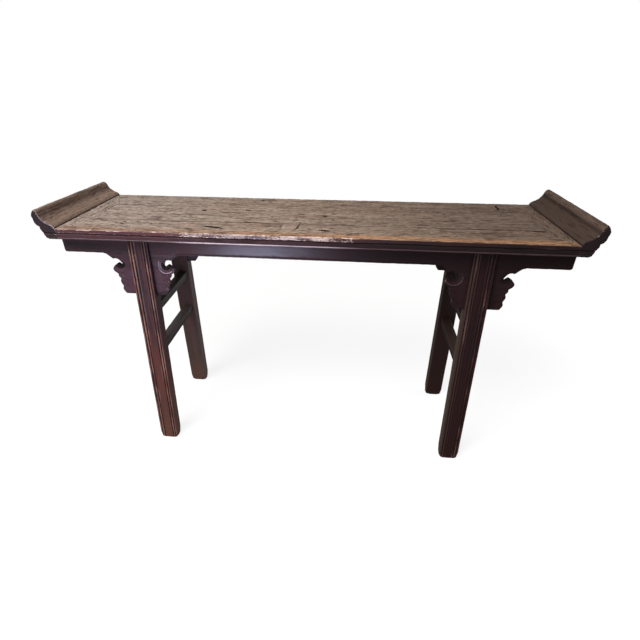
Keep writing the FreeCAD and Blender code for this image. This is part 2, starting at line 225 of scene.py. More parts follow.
elm_grain = elm_grain_group()
rubbing = rubbing_group()


def attribute(tree, name):
    """Value that the mesh carries at each point."""
    return node(tree, "ShaderNodeAttribute", {}, attribute_name=name)["Fac"]


def start_material(name, turn, seed):
    """New material with its tree, shader, object place as a whole and by axis, grain and wear."""
    material = bpy.data.materials.new(name)
    material.use_nodes = True
    tree = material.node_tree
    place = node(tree, "ShaderNodeTexCoord", {})["Object"]
    axes = node(tree, "ShaderNodeSeparateXYZ", {0: place})
    vector = node(tree, "ShaderNodeMapping", {"Rotation": turn, "Vector": place})["Vector"]
    grain = node(tree, "ShaderNodeGroup", {"Vector": vector, "Seed": seed}, node_tree=elm_grain)
    wear = node(tree, "ShaderNodeGroup",
                {"Vector": vector, "Rubbed": attribute(tree, "rubbed"), "Sunk": attribute(tree, "sunk"),
                 "Line": grain["Line"], "Seed": seed}, node_tree=rubbing)
    return material, tree, tree.nodes["Principled BSDF"], place, axes, grain, wear


def set_shader(tree, shader, colour, roughness, coat, shine, height, depth):
    """Feeds the shader, and bumps its normal by a height with its real depth in metres."""
    bump = node(tree, "ShaderNodeBump", {"Distance": depth, "Strength": 1.0, "Height": height})
    for name, value in (("Base Color", colour), ("Roughness", roughness), ("Coat Weight", coat),
                        ("Coat Roughness", 0.3), ("Specular IOR Level", shine),
                        ("Normal", bump["Normal"])):
        feed(tree, shader.inputs[name], value)


along_x = (0.0, 0.0, 0.0)
along_y = (0.0, 0.0, math.pi / 2)
along_z = (0.0, math.pi / 2, 0.0)


def lacquered(name, turn, seed, light, red, foot=paint(92, 56, 40), gloss=0.9,
              rub=(paint(84, 54, 46), paint(136, 102, 90)), grime=paint(20, 9, 8)):
    """Old plum-brown lacquer over elm: streaked by the grain, gone red where it is thin, browned towards
    the floor, rubbed to bare wood on its edges, and darkened by painted shade towards the right."""
    material, tree, shader, _, axes, grain, wear = start_material(name, turn, seed)
    thin = raise_by(tree, grain["Line"], 0.35, grain["Figure"])
    low = raise_by(tree, fade(tree, axes["Z"], 0.16, 0.02), 0.5,
                   product(tree, fade(tree, axes["Z"], 0.6, 0.1), 0.45))
    # Painted shade: the colour, the bare wood and the gloss all darken towards the right, where less light
    # falls.
    shade = product(tree, fade(tree, axes["X"], -0.25, 0.35), 0.93)
    # Partly dust and partly painted light: a lighter tone on faces that carry the dust-and-light share.
    dust = product(tree, raise_by(tree, grain["Line"], 0.5, 0.6), attribute(tree, "dusty"))
    dust_and_light_tone = layered(tree, paint(108, 104, 102), (shade, paint(98, 80, 64)))
    bare = layered(tree, rub[0], (fade(tree, grain["Line"], 0.35, 0.65), rub[1]),
                   (shade, paint(90, 64, 56)))
    colour = layered(tree, paint(32, 14, 18), (fade(tree, grain["Streak"], 0.36, 0.64), light),
                     (product(tree, fade(tree, grain["Fibre"], 0.54, 0.38), 0.55), paint(24, 10, 12)),
                     (fade(tree, thin, 0.56, 0.8), red), (low, foot), (shade, paint(31, 10, 10)),
                     (dust, dust_and_light_tone), (wear["Bare"], bare), (wear["Grime"], grime))
    glossy = product(tree, raise_by(tree, wear["Bare"], -0.8 * gloss, gloss),
                     raise_by(tree, fade(tree, thin, 0.52, 0.8), -0.45, 1.15),
                     raise_by(tree, shade, -0.85, 1.0), rest(tree, wear["Grime"]))
    set_shader(tree, shader, colour, raise_by(tree, grain["Fibre"], 0.3, 0.5), glossy, 0.2,
               raise_by(tree, grain["Line"], 0.7, grain["Fibre"]), 0.0003)
    return material


def coated(tree, shape, finish):
    """Plain mesh of a shape, with its material set."""
    whole = node(tree, "GeometryNodeRealizeInstances", {"Geometry": shape})["Geometry"]
    return node(tree, "GeometryNodeSetMaterial", {"Geometry": whole, "Material": finish})["Geometry"]


def hand_wear_tree():
    """Sinks a surface by slow waves all over and by small knocks where it is rubbed."""
    tree, given, result = new_group(
        "hand_wear", "GeometryNodeTree",
        {"Skin": "Geometry", "Wave Depth": 0.0003, "Wave Length": 0.12, "Knock Depth": 0.0006,
         "Knock Length": 0.012, "Line Depth": 0.0001, "Grain Turn": "Vector", "Seed": 0.0,
         "Finish": "Material"}, {"Skin": "Geometry"})
    spot = node(tree, "GeometryNodeInputPosition", {})[0]
    turned = node(tree, "ShaderNodeVectorRotate", {"Vector": spot, "Rotation": given["Grain Turn"]},
                  rotation_type="EULER_XYZ")[0]
    line = cloud(tree, turned, grain_stretch["Line"], given["Seed"], 3.0, 0.5)
    hollows = []
    for label in ("Wave", "Knock"):
        scale = reckon(tree, "DIVIDE", 1.0, given[label + " Length"])
        made = node(tree, "ShaderNodeTexNoise",
                    {"Vector": spot, "W": given["Seed"], "Scale": scale, "Detail": 2.0},
                    noise_dimensions="4D")[0]
        hollows.append(product(tree, fade(tree, made, 0.35, 0.75), given[label + " Depth"]))
    rubbed = node(tree, "GeometryNodeInputNamedAttribute", {"Name": "rubbed"}, data_type="FLOAT")
    growth = product(tree, fade(tree, line, 0.62, 0.38), given["Line Depth"])
    waves = reckon(tree, "ADD", hollows[0], growth)
    knocks = product(tree, hollows[1], rubbed["Attribute"])
    inward = product(tree, reckon(tree, "ADD", waves, knocks), -1.0)
    shift = node(tree, "ShaderNodeVectorMath",
                 {0: node(tree, "GeometryNodeInputNormal", {})[0], "Scale": inward}, operation="SCALE")[0]
    moved = node(tree, "GeometryNodeSetPosition", {"Geometry": given["Skin"], "Offset": shift})
    feed(tree, result["Skin"], coated(tree, moved["Geometry"], given["Finish"]))
    return tree


hand_wear = hand_wear_tree()


def run_tree(piece, tree, **values):
    """Run a tree on a piece with inputs set by name, and keep the result as a plain mesh."""
    keys = {item.name.replace(" ", "_").lower(): item.identifier
            for item in tree.interface.items_tree if item.in_out == "INPUT"}
    step = piece.modifiers.new(tree.name, "NODES")
    step.node_group = tree
    for name, value in values.items():
        step[keys[name]] = value
    piece.update_tag()
    shown = piece.evaluated_get(bpy.context.evaluated_depsgraph_get())
    mesh = bpy.data.meshes.new_from_object(shown)
    piece.modifiers.remove(step)
    piece.data = mesh
    return piece


def weather(piece, turn, seed, finish, wave, knock, line):
    """Wears a piece by hand: waves and knocks by depth and length, and its growth lines by depth."""
    run_tree(piece, hand_wear, grain_turn=turn, seed=seed, finish=finish, wave_depth=wave[0],
             wave_length=wave[1], knock_depth=knock[0], knock_length=knock[1], line_depth=line)


def joined(*parts):
    """Values of several sets of points in one row."""
    return np.concatenate([np.ravel(part) for part in parts])


def skin(name, points, faces, rubbed, sunk, **more):
    """Piece with a closed mesh that carries how rubbed, sunk and coated each point is."""
    mesh = bpy.data.meshes.new(name)
    mesh.from_pydata([tuple(point) for point in points], [], faces)
    for label, values in {"rubbed": rubbed, "sunk": sunk, **more}.items():
        carried = mesh.attributes.new(label, "FLOAT", "POINT")
        carried.data.foreach_set("value", np.asarray(values, np.float32))
    shell = bmesh.new()
    shell.from_mesh(mesh)
    bmesh.ops.remove_doubles(shell, verts=shell.verts, dist=weld)
    bmesh.ops.dissolve_degenerate(shell, edges=shell.edges, dist=weld)
    rims = [edge for edge in shell.edges if edge.is_boundary]
    bmesh.ops.holes_fill(shell, edges=rims, sides=0)
    bmesh.ops.recalc_face_normals(shell, faces=shell.faces)
    shell.to_mesh(mesh)
    shell.free()
    mesh.shade_smooth()
    mesh.set_sharp_from_angle(angle=math.radians(sharp_angle))
    piece = bpy.data.objects.new(name, mesh)
    bpy.context.scene.collection.objects.link(piece)
    return piece


def ramp(value, start, width):
    """Rise from 0 where a value starts to 1 a width further."""
    return np.clip((value - start) / width, 0, 1)


def near(gap, reach):
    """1 where a gap is nought, falling to 0 where it is as wide as the reach."""
    return np.clip(1 - abs(gap) / reach, 0, 1)


def crest(start, end, level, top, count):
    """Points of a low round between two places of one level, with its ends left out."""
    made = []
    for step in range(1, count):
        t = step / count
        made.append((start + (end - start) * t, level - (level - top) * 4 * t * (1 - t)))
    return made


def leg_half_section():
    """Half outline of a leg from the middle of its inner face to the middle of its outer
    face: across, depth behind the outer face, rubbing and sinking."""
    half = leg_width / 2
    bead_in = half - leg_edge_bead
    reed_out = bead_in - leg_quirk
    reed_in = reed_out - leg_reed
    rim_out = reed_in - leg_quirk
    rim_in = rim_out - leg_rim
    field = rim_in - leg_rim_quirk
    rows = [(0, leg_depth, 0.1, 0), (half / 2, leg_depth, 0.1, 0),
            (half - leg_arris, leg_depth, 0.5, 0), (half, leg_depth - leg_arris, 0.5, 0),
            (half, leg_depth, 0.15, 0), (half, leg_depth, 0.15, 0), (half, leg_corner, 0.35, 0)]
    for angle in np.array((0.25, 0.5, 0.75)) * math.pi / 2:
        rows.append((half - leg_corner * (1 - math.cos(angle)),
                     leg_corner * (1 - math.sin(angle)), 0.45, 0))
    rows.append((half - leg_corner, 0, 0.7, 0))
    rows += [(a, d, 0.8, 0) for a, d in crest(half - leg_corner, bead_in, 0, leg_bead_top, 3)]
    rows += [(bead_in, leg_shoulder, 0.2, 0.6),
             (reed_out + leg_quirk / 2, leg_quirk_depth, 0, 1),
             (reed_out, leg_shoulder, 0.2, 0.6)]
    rows += [(a, d, 0.85, 0) for a, d in crest(reed_out, reed_in, leg_shoulder, leg_reed_top, 4)]
    rows += [(reed_in, leg_shoulder, 0.2, 0.6),
             (rim_out + leg_quirk / 2, leg_quirk_depth, 0, 1),
             (rim_out, leg_shoulder, 0.2, 0.5)]
    rows += [(a, d, 0.55, 0) for a, d in crest(rim_out, rim_in, leg_shoulder, leg_rim_top, 4)]
    rows += [(rim_in, leg_shoulder, 0.2, 0.35), (field, leg_field_recess, 0.25, 0.25),
             (field / 2, leg_field_recess * 0.8, 0.2, 0), (0, leg_field_recess * 0.7, 0.2, 0)]
    return np.array(rows, float)


def corner_rounded(across, deep, radius, inset):
    """Section of a leg with its four upright corners rounded by a radius."""
    if radius <= 0:
        return across, deep
    beside = np.maximum(radius - (leg_width / 2 - inset - abs(across)), 0)
    behind = np.maximum(radius - np.minimum(deep - inset, leg_depth - inset - deep), 0)
    reach = np.hypot(beside, behind)
    share = np.where(reach > radius, radius / np.maximum(reach, weld), 1)
    across = across - np.sign(across) * beside * (1 - share)
    outwards = np.where(deep < leg_depth / 2, 1, -1)
    return across, deep + outwards * behind * (1 - share)


def leg_rings():
    """Rings of the right rear leg from the floor up, with their rubbing, sinking and heights."""
    half_rows = leg_half_section()
    section = np.vstack([half_rows, half_rows[-2:0:-1] * (-1, 1, 1, 1)])
    count = len(section)
    low_steps = foot_round * np.array((0, 0.08, 0.2, 0.4, 0.65, 1))
    to_slot = np.linspace(foot_round, slot_under, round(slot_under / leg_station))[1:]
    to_top = np.linspace(slot_under, top_under, round((top_under - slot_under) / leg_station))[1:]
    heights = np.concatenate([low_steps, to_slot, to_top])
    points, rubbed, sunk = [], [], []
    for z in heights:
        share = (top_under - z) / top_under
        outer = leg_outer + leg_splay_front * share
        slot_outer = leg_outer + leg_splay_front * min(share, 1 - slot_under / top_under)
        across, deep = section[:, 0].copy(), section[:, 1].copy()
        for place, face in ((slot_in, apron_low.y - slot_slip), (slot_out, apron_high.y + slot_slip)):
            deep[place] = deep[count - place] = slot_outer - face
        rise = max(foot_round - z, 0)
        inset = foot_round - math.sqrt(foot_round ** 2 - rise ** 2)
        across = np.clip(across, inset - leg_width / 2, leg_width / 2 - inset)
        deep = np.clip(deep, inset, leg_depth - inset)
        low = max(1 - z / foot_wear, 0)
        across, deep = corner_rounded(across, deep, foot_corner * math.sqrt(low), inset)
        x = leg_middle + leg_splay_side * share + across
        points.append(np.column_stack([x, outer - deep, np.full(count, z)]))
        rubbed.append(np.clip(section[:, 2] + foot_rub * low, 0, 1))
        hidden = section[:, 3].copy()
        if z >= slot_under:
            hidden[[slot_in, slot_out, count - slot_in, count - slot_out]] = 1
        sunk.append(hidden)
    return np.array(points), np.array(rubbed), np.array(sunk), heights


def leg_faces(heights, count):
    """Faces of a leg: side walls, the slot between the two prongs, and the ends."""
    far_out, far_in = count - slot_out, count - slot_in
    first = int(np.argmin(abs(heights - slot_under)))
    last = len(heights) - 1
    faces = []
    for row in range(last):
        low, high = row * count, (row + 1) * count
        in_slot = row >= first
        for place in range(count):
            after = (place + 1) % count
            if in_slot and place in (slot_in, far_out):
                continue
            faces.append((low + place, low + after, high + after, high + place))
        if in_slot:
            faces.append((low + slot_out, low + far_out, high + far_out, high + slot_out))
            faces.append((low + far_in, low + slot_in, high + slot_in, high + far_in))
    start = first * count
    faces.append((start + slot_in, start + slot_out, start + far_out, start + far_in))
    faces.append(tuple(range(count)))
    top = last * count
    faces.append(tuple(top + place for place in range(slot_out, far_out + 1)))
    faces.append(tuple(top + place % count for place in range(far_in, count + slot_in + 1)))
    return faces


leg_lacquer = lacquered("leg_lacquer", along_z, 1.7, light=paint(70, 43, 47),
                        red=paint(78, 38, 36), gloss=0.5, grime=paint(40, 16, 11))
leg_points, leg_rubbed, leg_sunk, leg_heights = leg_rings()
leg_net = leg_faces(leg_heights, leg_points.shape[1])
corners = (("rear_right", 1, 1), ("rear_left", -1, 1), ("front_right", 1, -1), ("front_left", -1, -1))
leg_wear = (0.8, 0.9, 0.85, 1.1)
leg_soil = (0.7, 1.0, 0.7, 1.0)
# Painted light: a lighter tone on the legs' inner sides, the front right leg's inner beads and the rear
# legs' plain faces, standing in for light on those faces.
leg_painted_light = (0.5, 0.65, 0.45, 0.05)
bead_painted_light = (0, 0, 0.2, 0)
back_painted_light = (0.04, 0.18, 0, 0)
leg_across = (leg_points[:, :, 0] - leg_points[:, :, 0].mean(1, keepdims=True)) / leg_width
leg_behind = leg_points[:, :, 1].max(1, keepdims=True) - leg_points[:, :, 1]
leg_moulded = leg_behind < leg_quirk_depth * 1.5
inner_side = (leg_across < -0.47) & ~leg_moulded & (leg_points[:, :, 2] < slot_under)
inner_beads = leg_moulded * ramp(-leg_across, 0.16, 0.2)
for number, (corner, side, face) in enumerate(corners):
    leftward = np.clip(-2 * side * leg_across, 0, 1) * leg_moulded * (side < 0)
    dusty = leg_painted_light[number] * inner_side + back_painted_light[number] * (~leg_moulded & ~inner_side)
    dusty = dusty + bead_painted_light[number] * inner_beads
    leg = skin(corner + "_post", leg_points.reshape(-1, 3) * (side, face, 1), leg_net,
               np.clip(leg_rubbed * leg_wear[number] + 0.35 * leftward, 0, 1).ravel(),
               (leg_sunk * (1 - 0.5 * leftward) * leg_soil[number]).ravel(), dusty=dusty.ravel())
    weather(leg, along_z, 1.7 + number, leg_lacquer, (0.0004, 0.09), (0.0006, 0.02), 0.00015)
    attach(leg, "root")
    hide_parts(corner + "_leg")

# Stretchers: two plain rails a side that tie the front leg to the rear leg, tenoned into
# their inner faces, with eased arrises and the same lacquer gone dull and grey.
stretcher_arris = 0.003
bar_station = 0.012
stretcher_entry = 0.0008


def rounded_bar(low, high, arris):
    """Ring of an upright rectangle with rounded corners: across, up, and rubbing."""
    low, high = np.array(low), np.array(high)
    middle, half = (low + high) / 2, (high - low) / 2
    rows = []
    for corner, way in enumerate(((1, 1), (-1, 1), (-1, -1), (1, -1))):
        for angle in (corner + np.arange(5) / 4) * math.pi / 2:
            spot = middle + (half - arris) * way + arris * np.array((math.cos(angle), math.sin(angle)))
            rows.append((*spot, 0.42 if corner < 2 else 0.3))
        side_middle = middle + half * ((0, 1), (-1, 0), (0, -1), (1, 0))[corner]
        rows.append((*side_middle, 0.15))
    return np.array(rows)


def tube_faces(rings, count):
    """Quads between rings of equal count, in order."""
    return [(row * count + place, row * count + (place + 1) % count,
             (row + 1) * count + (place + 1) % count, (row + 1) * count + place)
            for row in range(rings - 1) for place in range(count)]


def bar(name, low, high, arris, reach, dust=0.5):
    """Straight bar along Y with eased arrises, from its low to its high corner in X and Z."""
    section = rounded_bar(low, high, arris)
    places = np.linspace(-reach, reach, round(2 * reach / bar_station))
    points = [(x, y, z) for y in places for x, z, _ in section]
    # The upper half carries the dust-and-light share: its top is lighter, partly dust and partly painted
    # light.
    return skin(name, points, tube_faces(len(places), len(section)),
                np.tile(section[:, 2], len(places)), np.zeros(len(points)),
                dusty=np.tile(section[:, 1] > section[:, 1].mean(), len(places)) * dust)


stretcher_lacquer = lacquered("stretcher_lacquer", along_y, 4.2, light=paint(58, 50, 50),
                              red=paint(52, 38, 36), foot=paint(48, 40, 38))
for number, level in enumerate(("upper", "lower")):
    # Per side, how much lighter the stretcher tops are, partly dust and partly painted light.
    for side, dust in (("right", 0.2), ("left", 0.4)):
        low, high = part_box(f"{side}_{level}_stretcher")
        leg_share = (top_under - low.z) / top_under
        reach = leg_outer + leg_splay_front * leg_share - leg_depth + stretcher_entry
        rail = bar(f"{side}_{level}_rail", (low.x, low.z), (high.x, high.z), stretcher_arris, reach, dust)
        weather(rail, along_y, 4.2 + number, stretcher_lacquer, (0.0006, 0.08), (0.0012, 0.018), 0.0002)
        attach(rail, "root")
        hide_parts(f"{side}_{level}_stretcher")

# Spandrels: one board through the slot of each leg, sawn into two wings with a hooked
# scroll and three lobes, and carved on its outer face with an eye, rims and bosses.
wing_path = [
    (1.0, 0.0), (1.0, 0.01),
    [(0.94, 0.018), (0.871, 0.062), (0.782, 0.13), (0.718, 0.124), (0.643, 0.14),
     (0.583, 0.199), (0.56, 0.268), (0.583, 0.309)],
    (0.679, 0.244),
    [(0.774, 0.296), (0.833, 0.369), (0.813, 0.436), (0.726, 0.502)],
    [(0.725, 0.561), (0.677, 0.617)],
    [(0.702, 0.7), (0.652, 0.803)],
    [(0.671, 0.889), (0.615, 0.99)],
    (0.587, 1.0),
]
wing_pitch = 0.0016
wing_arris = 0.0013
wing_thickness = apron_high.y - apron_low.y
apron_under = apron_low.z
apron_end = apron_high.x
apron_corner = 0.007
wing_low, wing_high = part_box("rear_right_spandrel")
wing_reach = (wing_high.x - wing_low.x) / 2
wing_drop = apron_under - slot_under
hair = 1e-12
away_block = 4000
inset_kept = 0.96
net_waver = 0.22
room_at_edge = 0.55
line_room_at_edge = 0.12
room_at_line = 0.4
back_coarseness = 6
slit_pitch = 0.006
slit_wall = 0.22
wide_slit = 0.0021
slit_stain = 0.3
line_gap = 0.0052
line_half = 0.0009
line_depth = 0.0006
line_lip = 0.0014
worn_arris = 0.0018
edge_pitch = 0.003
ground_depth = 0.0012
ground_ease = 0.001
ground_slope = 0.004
ground_from = (0.04, 0.012)
ground_fade = 0.02
wing_lean = {1: 0.003, -1: -0.016}
scroll_middle = (0.079, 0.037)
scroll_inner = 0.0095
scroll_rim = 0.025
scroll_depth = 0.0038
scroll_open = (-2.6, -0.2)
rim_half = 0.0018
ring_pitch = 0.0045
ring_height = 0.0016
bosses = ((0.082, 0.08, 0.01), (0.078, 0.101, 0.01), (0.0745, 0.127, 0.011))
wing_cuts = (
    ([(0.0925, 0.0725), (0.08, 0.069), (0.069, 0.07), (0.06, 0.076)], 0.0012, 0.0016),
    ([(0.086, 0.0885), (0.076, 0.0885), (0.066, 0.091), (0.058, 0.097)], 0.0011, 0.0014),
    ([(0.0825, 0.115), (0.073, 0.114), (0.064, 0.116), (0.057, 0.121)], 0.0011, 0.0014),
)


def traced(path, pitch, place):
    """Points along a path whose pairs stand for places: a list of pairs is a smooth curve, and
    a single one ends a straight run."""
    points = [np.array(place(*path[0]))]
    for step in path[1:]:
        curved = isinstance(step, list)
        knots = [points[-1]] + [np.array(place(*pair)) for pair in (step if curved else [step])]
        knots = [2 * knots[0] - knots[1]] + knots + [2 * knots[-1] - knots[-2]]
        for before, start, end, after in zip(knots, knots[1:], knots[2:], knots[3:]):
            count = max(1, round(np.linalg.norm(end - start) / pitch))
            for t in np.arange(1, count + 1) / count:
                bend = ((end - before) * t + (2 * before - 5 * start + 4 * end - after) * t ** 2
                        + (3 * start - before - 3 * end + after) * t ** 3)
                points.append(start + (bend / 2 if curved else (end - start) * t))
    return np.array(points)


def away(points, line):
    """Distance of points from a line of straight runs, and how far along it they lie."""
    start, run = line[:-1], np.diff(line, axis=0)
    length = np.maximum(np.hypot(run[:, 0], run[:, 1]), hair)
    before = np.cumsum(length) - length
    gaps, shares = [], []
    for first in range(0, len(points), away_block):
        offset = points[first:first + away_block, None] - start[None]
        share = np.clip((offset * run).sum(2) / length ** 2, 0, 1)
        gap = np.linalg.norm(offset - share[..., None] * run, axis=2)
        closest = gap.argmin(1)
        rows = np.arange(len(closest))
        gaps.append(gap[rows, closest])
        covered = before[closest] + share[rows, closest] * length[closest]
        shares.append(covered / length.sum())
    return np.concatenate(gaps or [[]]), np.concatenate(shares or [[]])


def within(points, outline):
    """Whether points lie inside a closed outline."""
    odd = np.zeros(len(points), bool)
    for (x1, y1), (x2, y2) in zip(outline, np.roll(outline, -1, axis=0)):
        if y1 != y2:
            level = (points[:, 1] - y1) / (y2 - y1)
            spans = (y1 > points[:, 1]) != (y2 > points[:, 1])
            odd ^= spans & (points[:, 0] < x1 + level * (x2 - x1))
    return odd


def closed(outline):
    """Outline with its first point once more at its end."""
    return np.vstack([outline, outline[:1]])


def shifted(line, gap):
    """Line moved sideways by a gap, to the left of its direction."""
    run = np.gradient(line, axis=0)
    run /= np.maximum(np.linalg.norm(run, axis=1, keepdims=True), hair)
    return line + np.column_stack([-run[:, 1], run[:, 0]]) * gap


def insets(line, gaps):
    """Lines beside a line at several gaps, without the points that come nearer to it."""
    made = []
    for gap in gaps:
        side = shifted(line, gap)
        kept = away(side, line)[0] > abs(gap) * inset_kept
        made += [side[run] for run in np.split(np.arange(len(side)), np.where(~kept)[0])]
    return [run[1:] for run in made if len(run) > 2]


def net(outline, lines, pitch, seed):
    """Triangles inside an outline that keep the given lines as edges, and the outline's ring."""
    spread = np.random.RandomState(seed)
    low, high = outline.min(0), outline.max(0)
    rows = [np.arange(low[axis] + pitch[axis], high[axis], pitch[axis]) for axis in (0, 1)]
    loose = np.array(np.meshgrid(*rows)).reshape(2, -1).T
    loose = loose + spread.uniform(-net_waver, net_waver, loose.shape) * pitch
    loose = loose[within(loose, outline)]
    loose = loose[away(loose, closed(outline))[0] > min(pitch) * room_at_edge]
    points = [tuple(point) for point in outline]
    edges = [(place, (place + 1) % len(outline)) for place in range(len(outline))]
    for line in lines:
        line = np.asarray(line)
        gap = away(line, closed(outline))[0]
        kept = within(line, outline) & (gap > min(pitch) * line_room_at_edge)
        for place, point in enumerate(line):
            if kept[place]:
                if place and kept[place - 1]:
                    edges.append((len(points) - 1, len(points)))
                points.append(tuple(point))
        room = min(pitch) * room_at_line
        close = ((loose > line.min(0) - room) & (loose < line.max(0) + room)).all(1)
        close[close] = away(loose[close], line)[0] <= room
        loose = loose[~close]
    points += [tuple(point) for point in loose]
    made = geometry.delaunay_2d_cdt([Vector(point) for point in points], edges, [], 0, 1e-7, True)
    flat, faces = np.array(made[0])[:, :2], np.array(made[2])
    places = {origin: place for place, origins in enumerate(made[3]) for origin in origins}
    ring = [places[place] for place in range(len(outline))]
    return flat, faces[within(flat[faces].mean(1), outline)], ring


def stepped(outline, pitch):
    """Closed outline whose sides are divided into runs no longer than the pitch."""
    return spaced(closed(outline), pitch)[:-1]


def spaced(line, pitch):
    """Line with its long runs divided so that no run is longer than the pitch."""
    made = [line[:1]]
    for start, end in zip(line, line[1:]):
        count = max(1, math.ceil(np.linalg.norm(end - start) / pitch))
        made.append(start + (end - start) * (np.arange(1, count + 1) / count)[:, None])
    return np.vstack(made)


def tapered(share):
    """How much of its width and depth a slit has at a share of its length."""
    return np.sqrt(np.clip(4 * share * (1 - share), 0, 1))


def slit_lines(slits):
    """Middle line and lips of each slit."""
    made = []
    for line, half, _ in slits:
        line = spaced(np.array(line), slit_pitch)
        length = np.concatenate([[0], np.cumsum(np.linalg.norm(np.diff(line, axis=0), axis=1))])
        taper = tapered(length / length[-1])
        side = shifted(line, 1.0) - line
        made.append(line)
        shares = (1, 1 - slit_wall) if half > wide_slit else (1,)
        made += [(line + side * (half * taper * way * share)[:, None])[1:-1]
                 for way in (1, -1) for share in shares]
    return [line for line in made if len(line) > 1]


def slit_drop(flat, slits):
    """How deep slits cut at each point, and how far inside a slit it lies."""
    drop, inside = np.zeros(len(flat)), np.zeros(len(flat))
    for line, half, depth in slits:
        gap, share = away(flat, np.array(line))
        taper = tapered(share)
        reach = gap / np.maximum(half * taper, 1e-6)
        wide = half > wide_slit
        part = taper * ramp(-reach, -1, slit_wall if wide else 1)
        dark = ramp(-reach, -1 - slit_stain, slit_stain) if wide else part
        drop = np.maximum(drop, depth * part)
        inside = np.maximum(inside, dark)
    return drop, inside


def rounding(gap, arris):
    """Drop of a rounded arris at a distance from the edge."""
    return arris - np.sqrt(np.maximum(arris ** 2 - np.maximum(arris - gap, 0) ** 2, 0))


def board_net(outline, lines, pitch, seed, carve):
    """Carved face inside an outline, and the plain back behind it."""
    flat, triangles, ring = net(outline, lines, pitch, seed)
    back = net(outline, (), [step * back_coarseness for step in pitch], seed)
    return (flat, triangles, ring) + tuple(carve(flat)), back


def plate(name, nets, thickness, stand):
    """Board with a carved face, its edge and a plain back, set in its place by stand."""
    (flat, triangles, ring, drop, rubbed, sunk), (rear, rear_triangles, rear_ring) = nets
    count = len(flat)
    faces = [tuple(face) for face in triangles]
    faces += [tuple(count + place for place in face[::-1]) for face in rear_triangles]
    for place, rear_place, after, rear_after in zip(ring, rear_ring, ring[1:] + ring[:1],
                                                    rear_ring[1:] + rear_ring[:1]):
        faces.append((place, after, count + rear_after, count + rear_place))
    points = np.vstack([stand(flat, drop), stand(rear, np.full(len(rear), thickness))])
    plain = np.zeros(len(rear))
    return skin(name, points, faces, joined(rubbed, plain + 0.2), joined(sunk, plain))


def wing_size(outwards, drop):
    """Real measures of a pair of shares in the wing's outline."""
    return outwards * wing_reach, drop * wing_drop


wing = traced(wing_path, wing_pitch, wing_size)


def leaned(drop, way):
    """How far a wing's outline leans outwards from its symmetric place at a drop."""
    return wing_lean[way] * (np.clip(drop, 0, wing_drop) / wing_drop) ** 1.5


def wing_place(outwards, drop, way):
    """Place of a wing's measures: outwards from the leg's middle, and down from the apron."""
    return leg_middle + way * (outwards + leaned(drop, way)), apron_under - drop


wing_right, wing_left = [np.column_stack(wing_place(wing[:, 0], wing[:, 1], way))[::way]
                         for way in (1, -1)]
corner_turn = [(apron_end - apron_corner * (1 - math.cos(angle)),
                apron_under + apron_corner * (1 - math.sin(angle)))
               for angle in np.linspace(0, math.pi / 2, 7)]
lower_edge = spaced(np.vstack([[(apron_end, top_under)], corner_turn, wing_right, wing_left,
                               [(0.0, apron_under)]]), edge_pitch)
edge_gaps = (wing_arris * 0.3, wing_arris, line_gap - line_half, line_gap, line_gap + line_half)
edge_lines = insets(lower_edge, [-gap for gap in edge_gaps])
edge_lines += [line * (-1, 1) for line in edge_lines]


def carved_edge(flat):
    """Rounded lower arris and the fine line beside it, shared by apron and spandrels."""
    folded = np.column_stack([abs(flat[:, 0]), flat[:, 1]])
    gap = away(folded, lower_edge)[0]
    line = near(gap - line_gap, line_half)
    drop = rounding(gap, wing_arris) + line * line_depth
    rubbed = np.maximum(0.12 + 0.62 * near(gap, worn_arris),
                        0.55 * near(gap - line_gap - line_lip, ground_ease))
    return gap, drop, rubbed, line


def carved_wing(flat):
    """Relief of a spandrel for the leg at the right: ground, eye, cuts and bosses."""
    gap, drop, rubbed, sunk = carved_edge(flat)
    v = apron_under - flat[:, 1]
    outwards = flat[:, 0] > leg_middle
    u = abs(flat[:, 0] - leg_middle) - np.where(outwards, leaned(v, 1), leaned(v, -1))
    folded = np.column_stack([u, v])
    ground = ramp(gap - line_gap, ground_ease, ground_slope) * ramp(v, ground_from[1], ground_fade)
    ground = ground * ground_depth * ramp(u, ground_from[0], ground_fade)
    right, down = u - scroll_middle[0], v - scroll_middle[1]
    away_by = np.hypot(right, down)
    turned = np.arctan2(down, right)
    shut = 1 - ramp(turned, scroll_open[0], 0.5) * ramp(-turned, -scroll_open[1], 0.4)
    rim = np.clip(1.4 - abs(away_by - scroll_rim - rim_half) / rim_half, 0, 1) * shut
    # Painted highlight: the eye's rim is rubbed to the pale lilac rub colour, strongest on the inner wing.
    polish = rim * np.where(outwards, 0.3, 0.95)
    ground *= 1 - rim
    swell = np.zeros(len(flat))
    for x, y, radius in bosses:
        spread = np.hypot(u - x, v - y) / radius
        swell = np.maximum(swell, near(spread ** 2, 1))
    cut, inside = slit_drop(folded, wing_cuts)
    dish = ramp(-away_by, -scroll_rim, scroll_rim - scroll_inner) ** 0.8 * shut
    rings = np.clip(np.cos((away_by - scroll_rim) / ring_pitch * 2 * math.pi), 0, 1) ** 2
    drop = np.maximum(drop + ground * (1 - swell), cut)
    drop = np.maximum(drop, dish * scroll_depth - rings * dish * (1 - dish) * ring_height)
    rubbed = np.maximum(rubbed, np.maximum(polish, 0.35 * swell))
    sunk = np.clip(np.maximum(sunk, inside) + ramp(dish, 0.5, 0.25), 0, 1)
    return drop, rubbed * (1 - inside) * (1 - dish), sunk


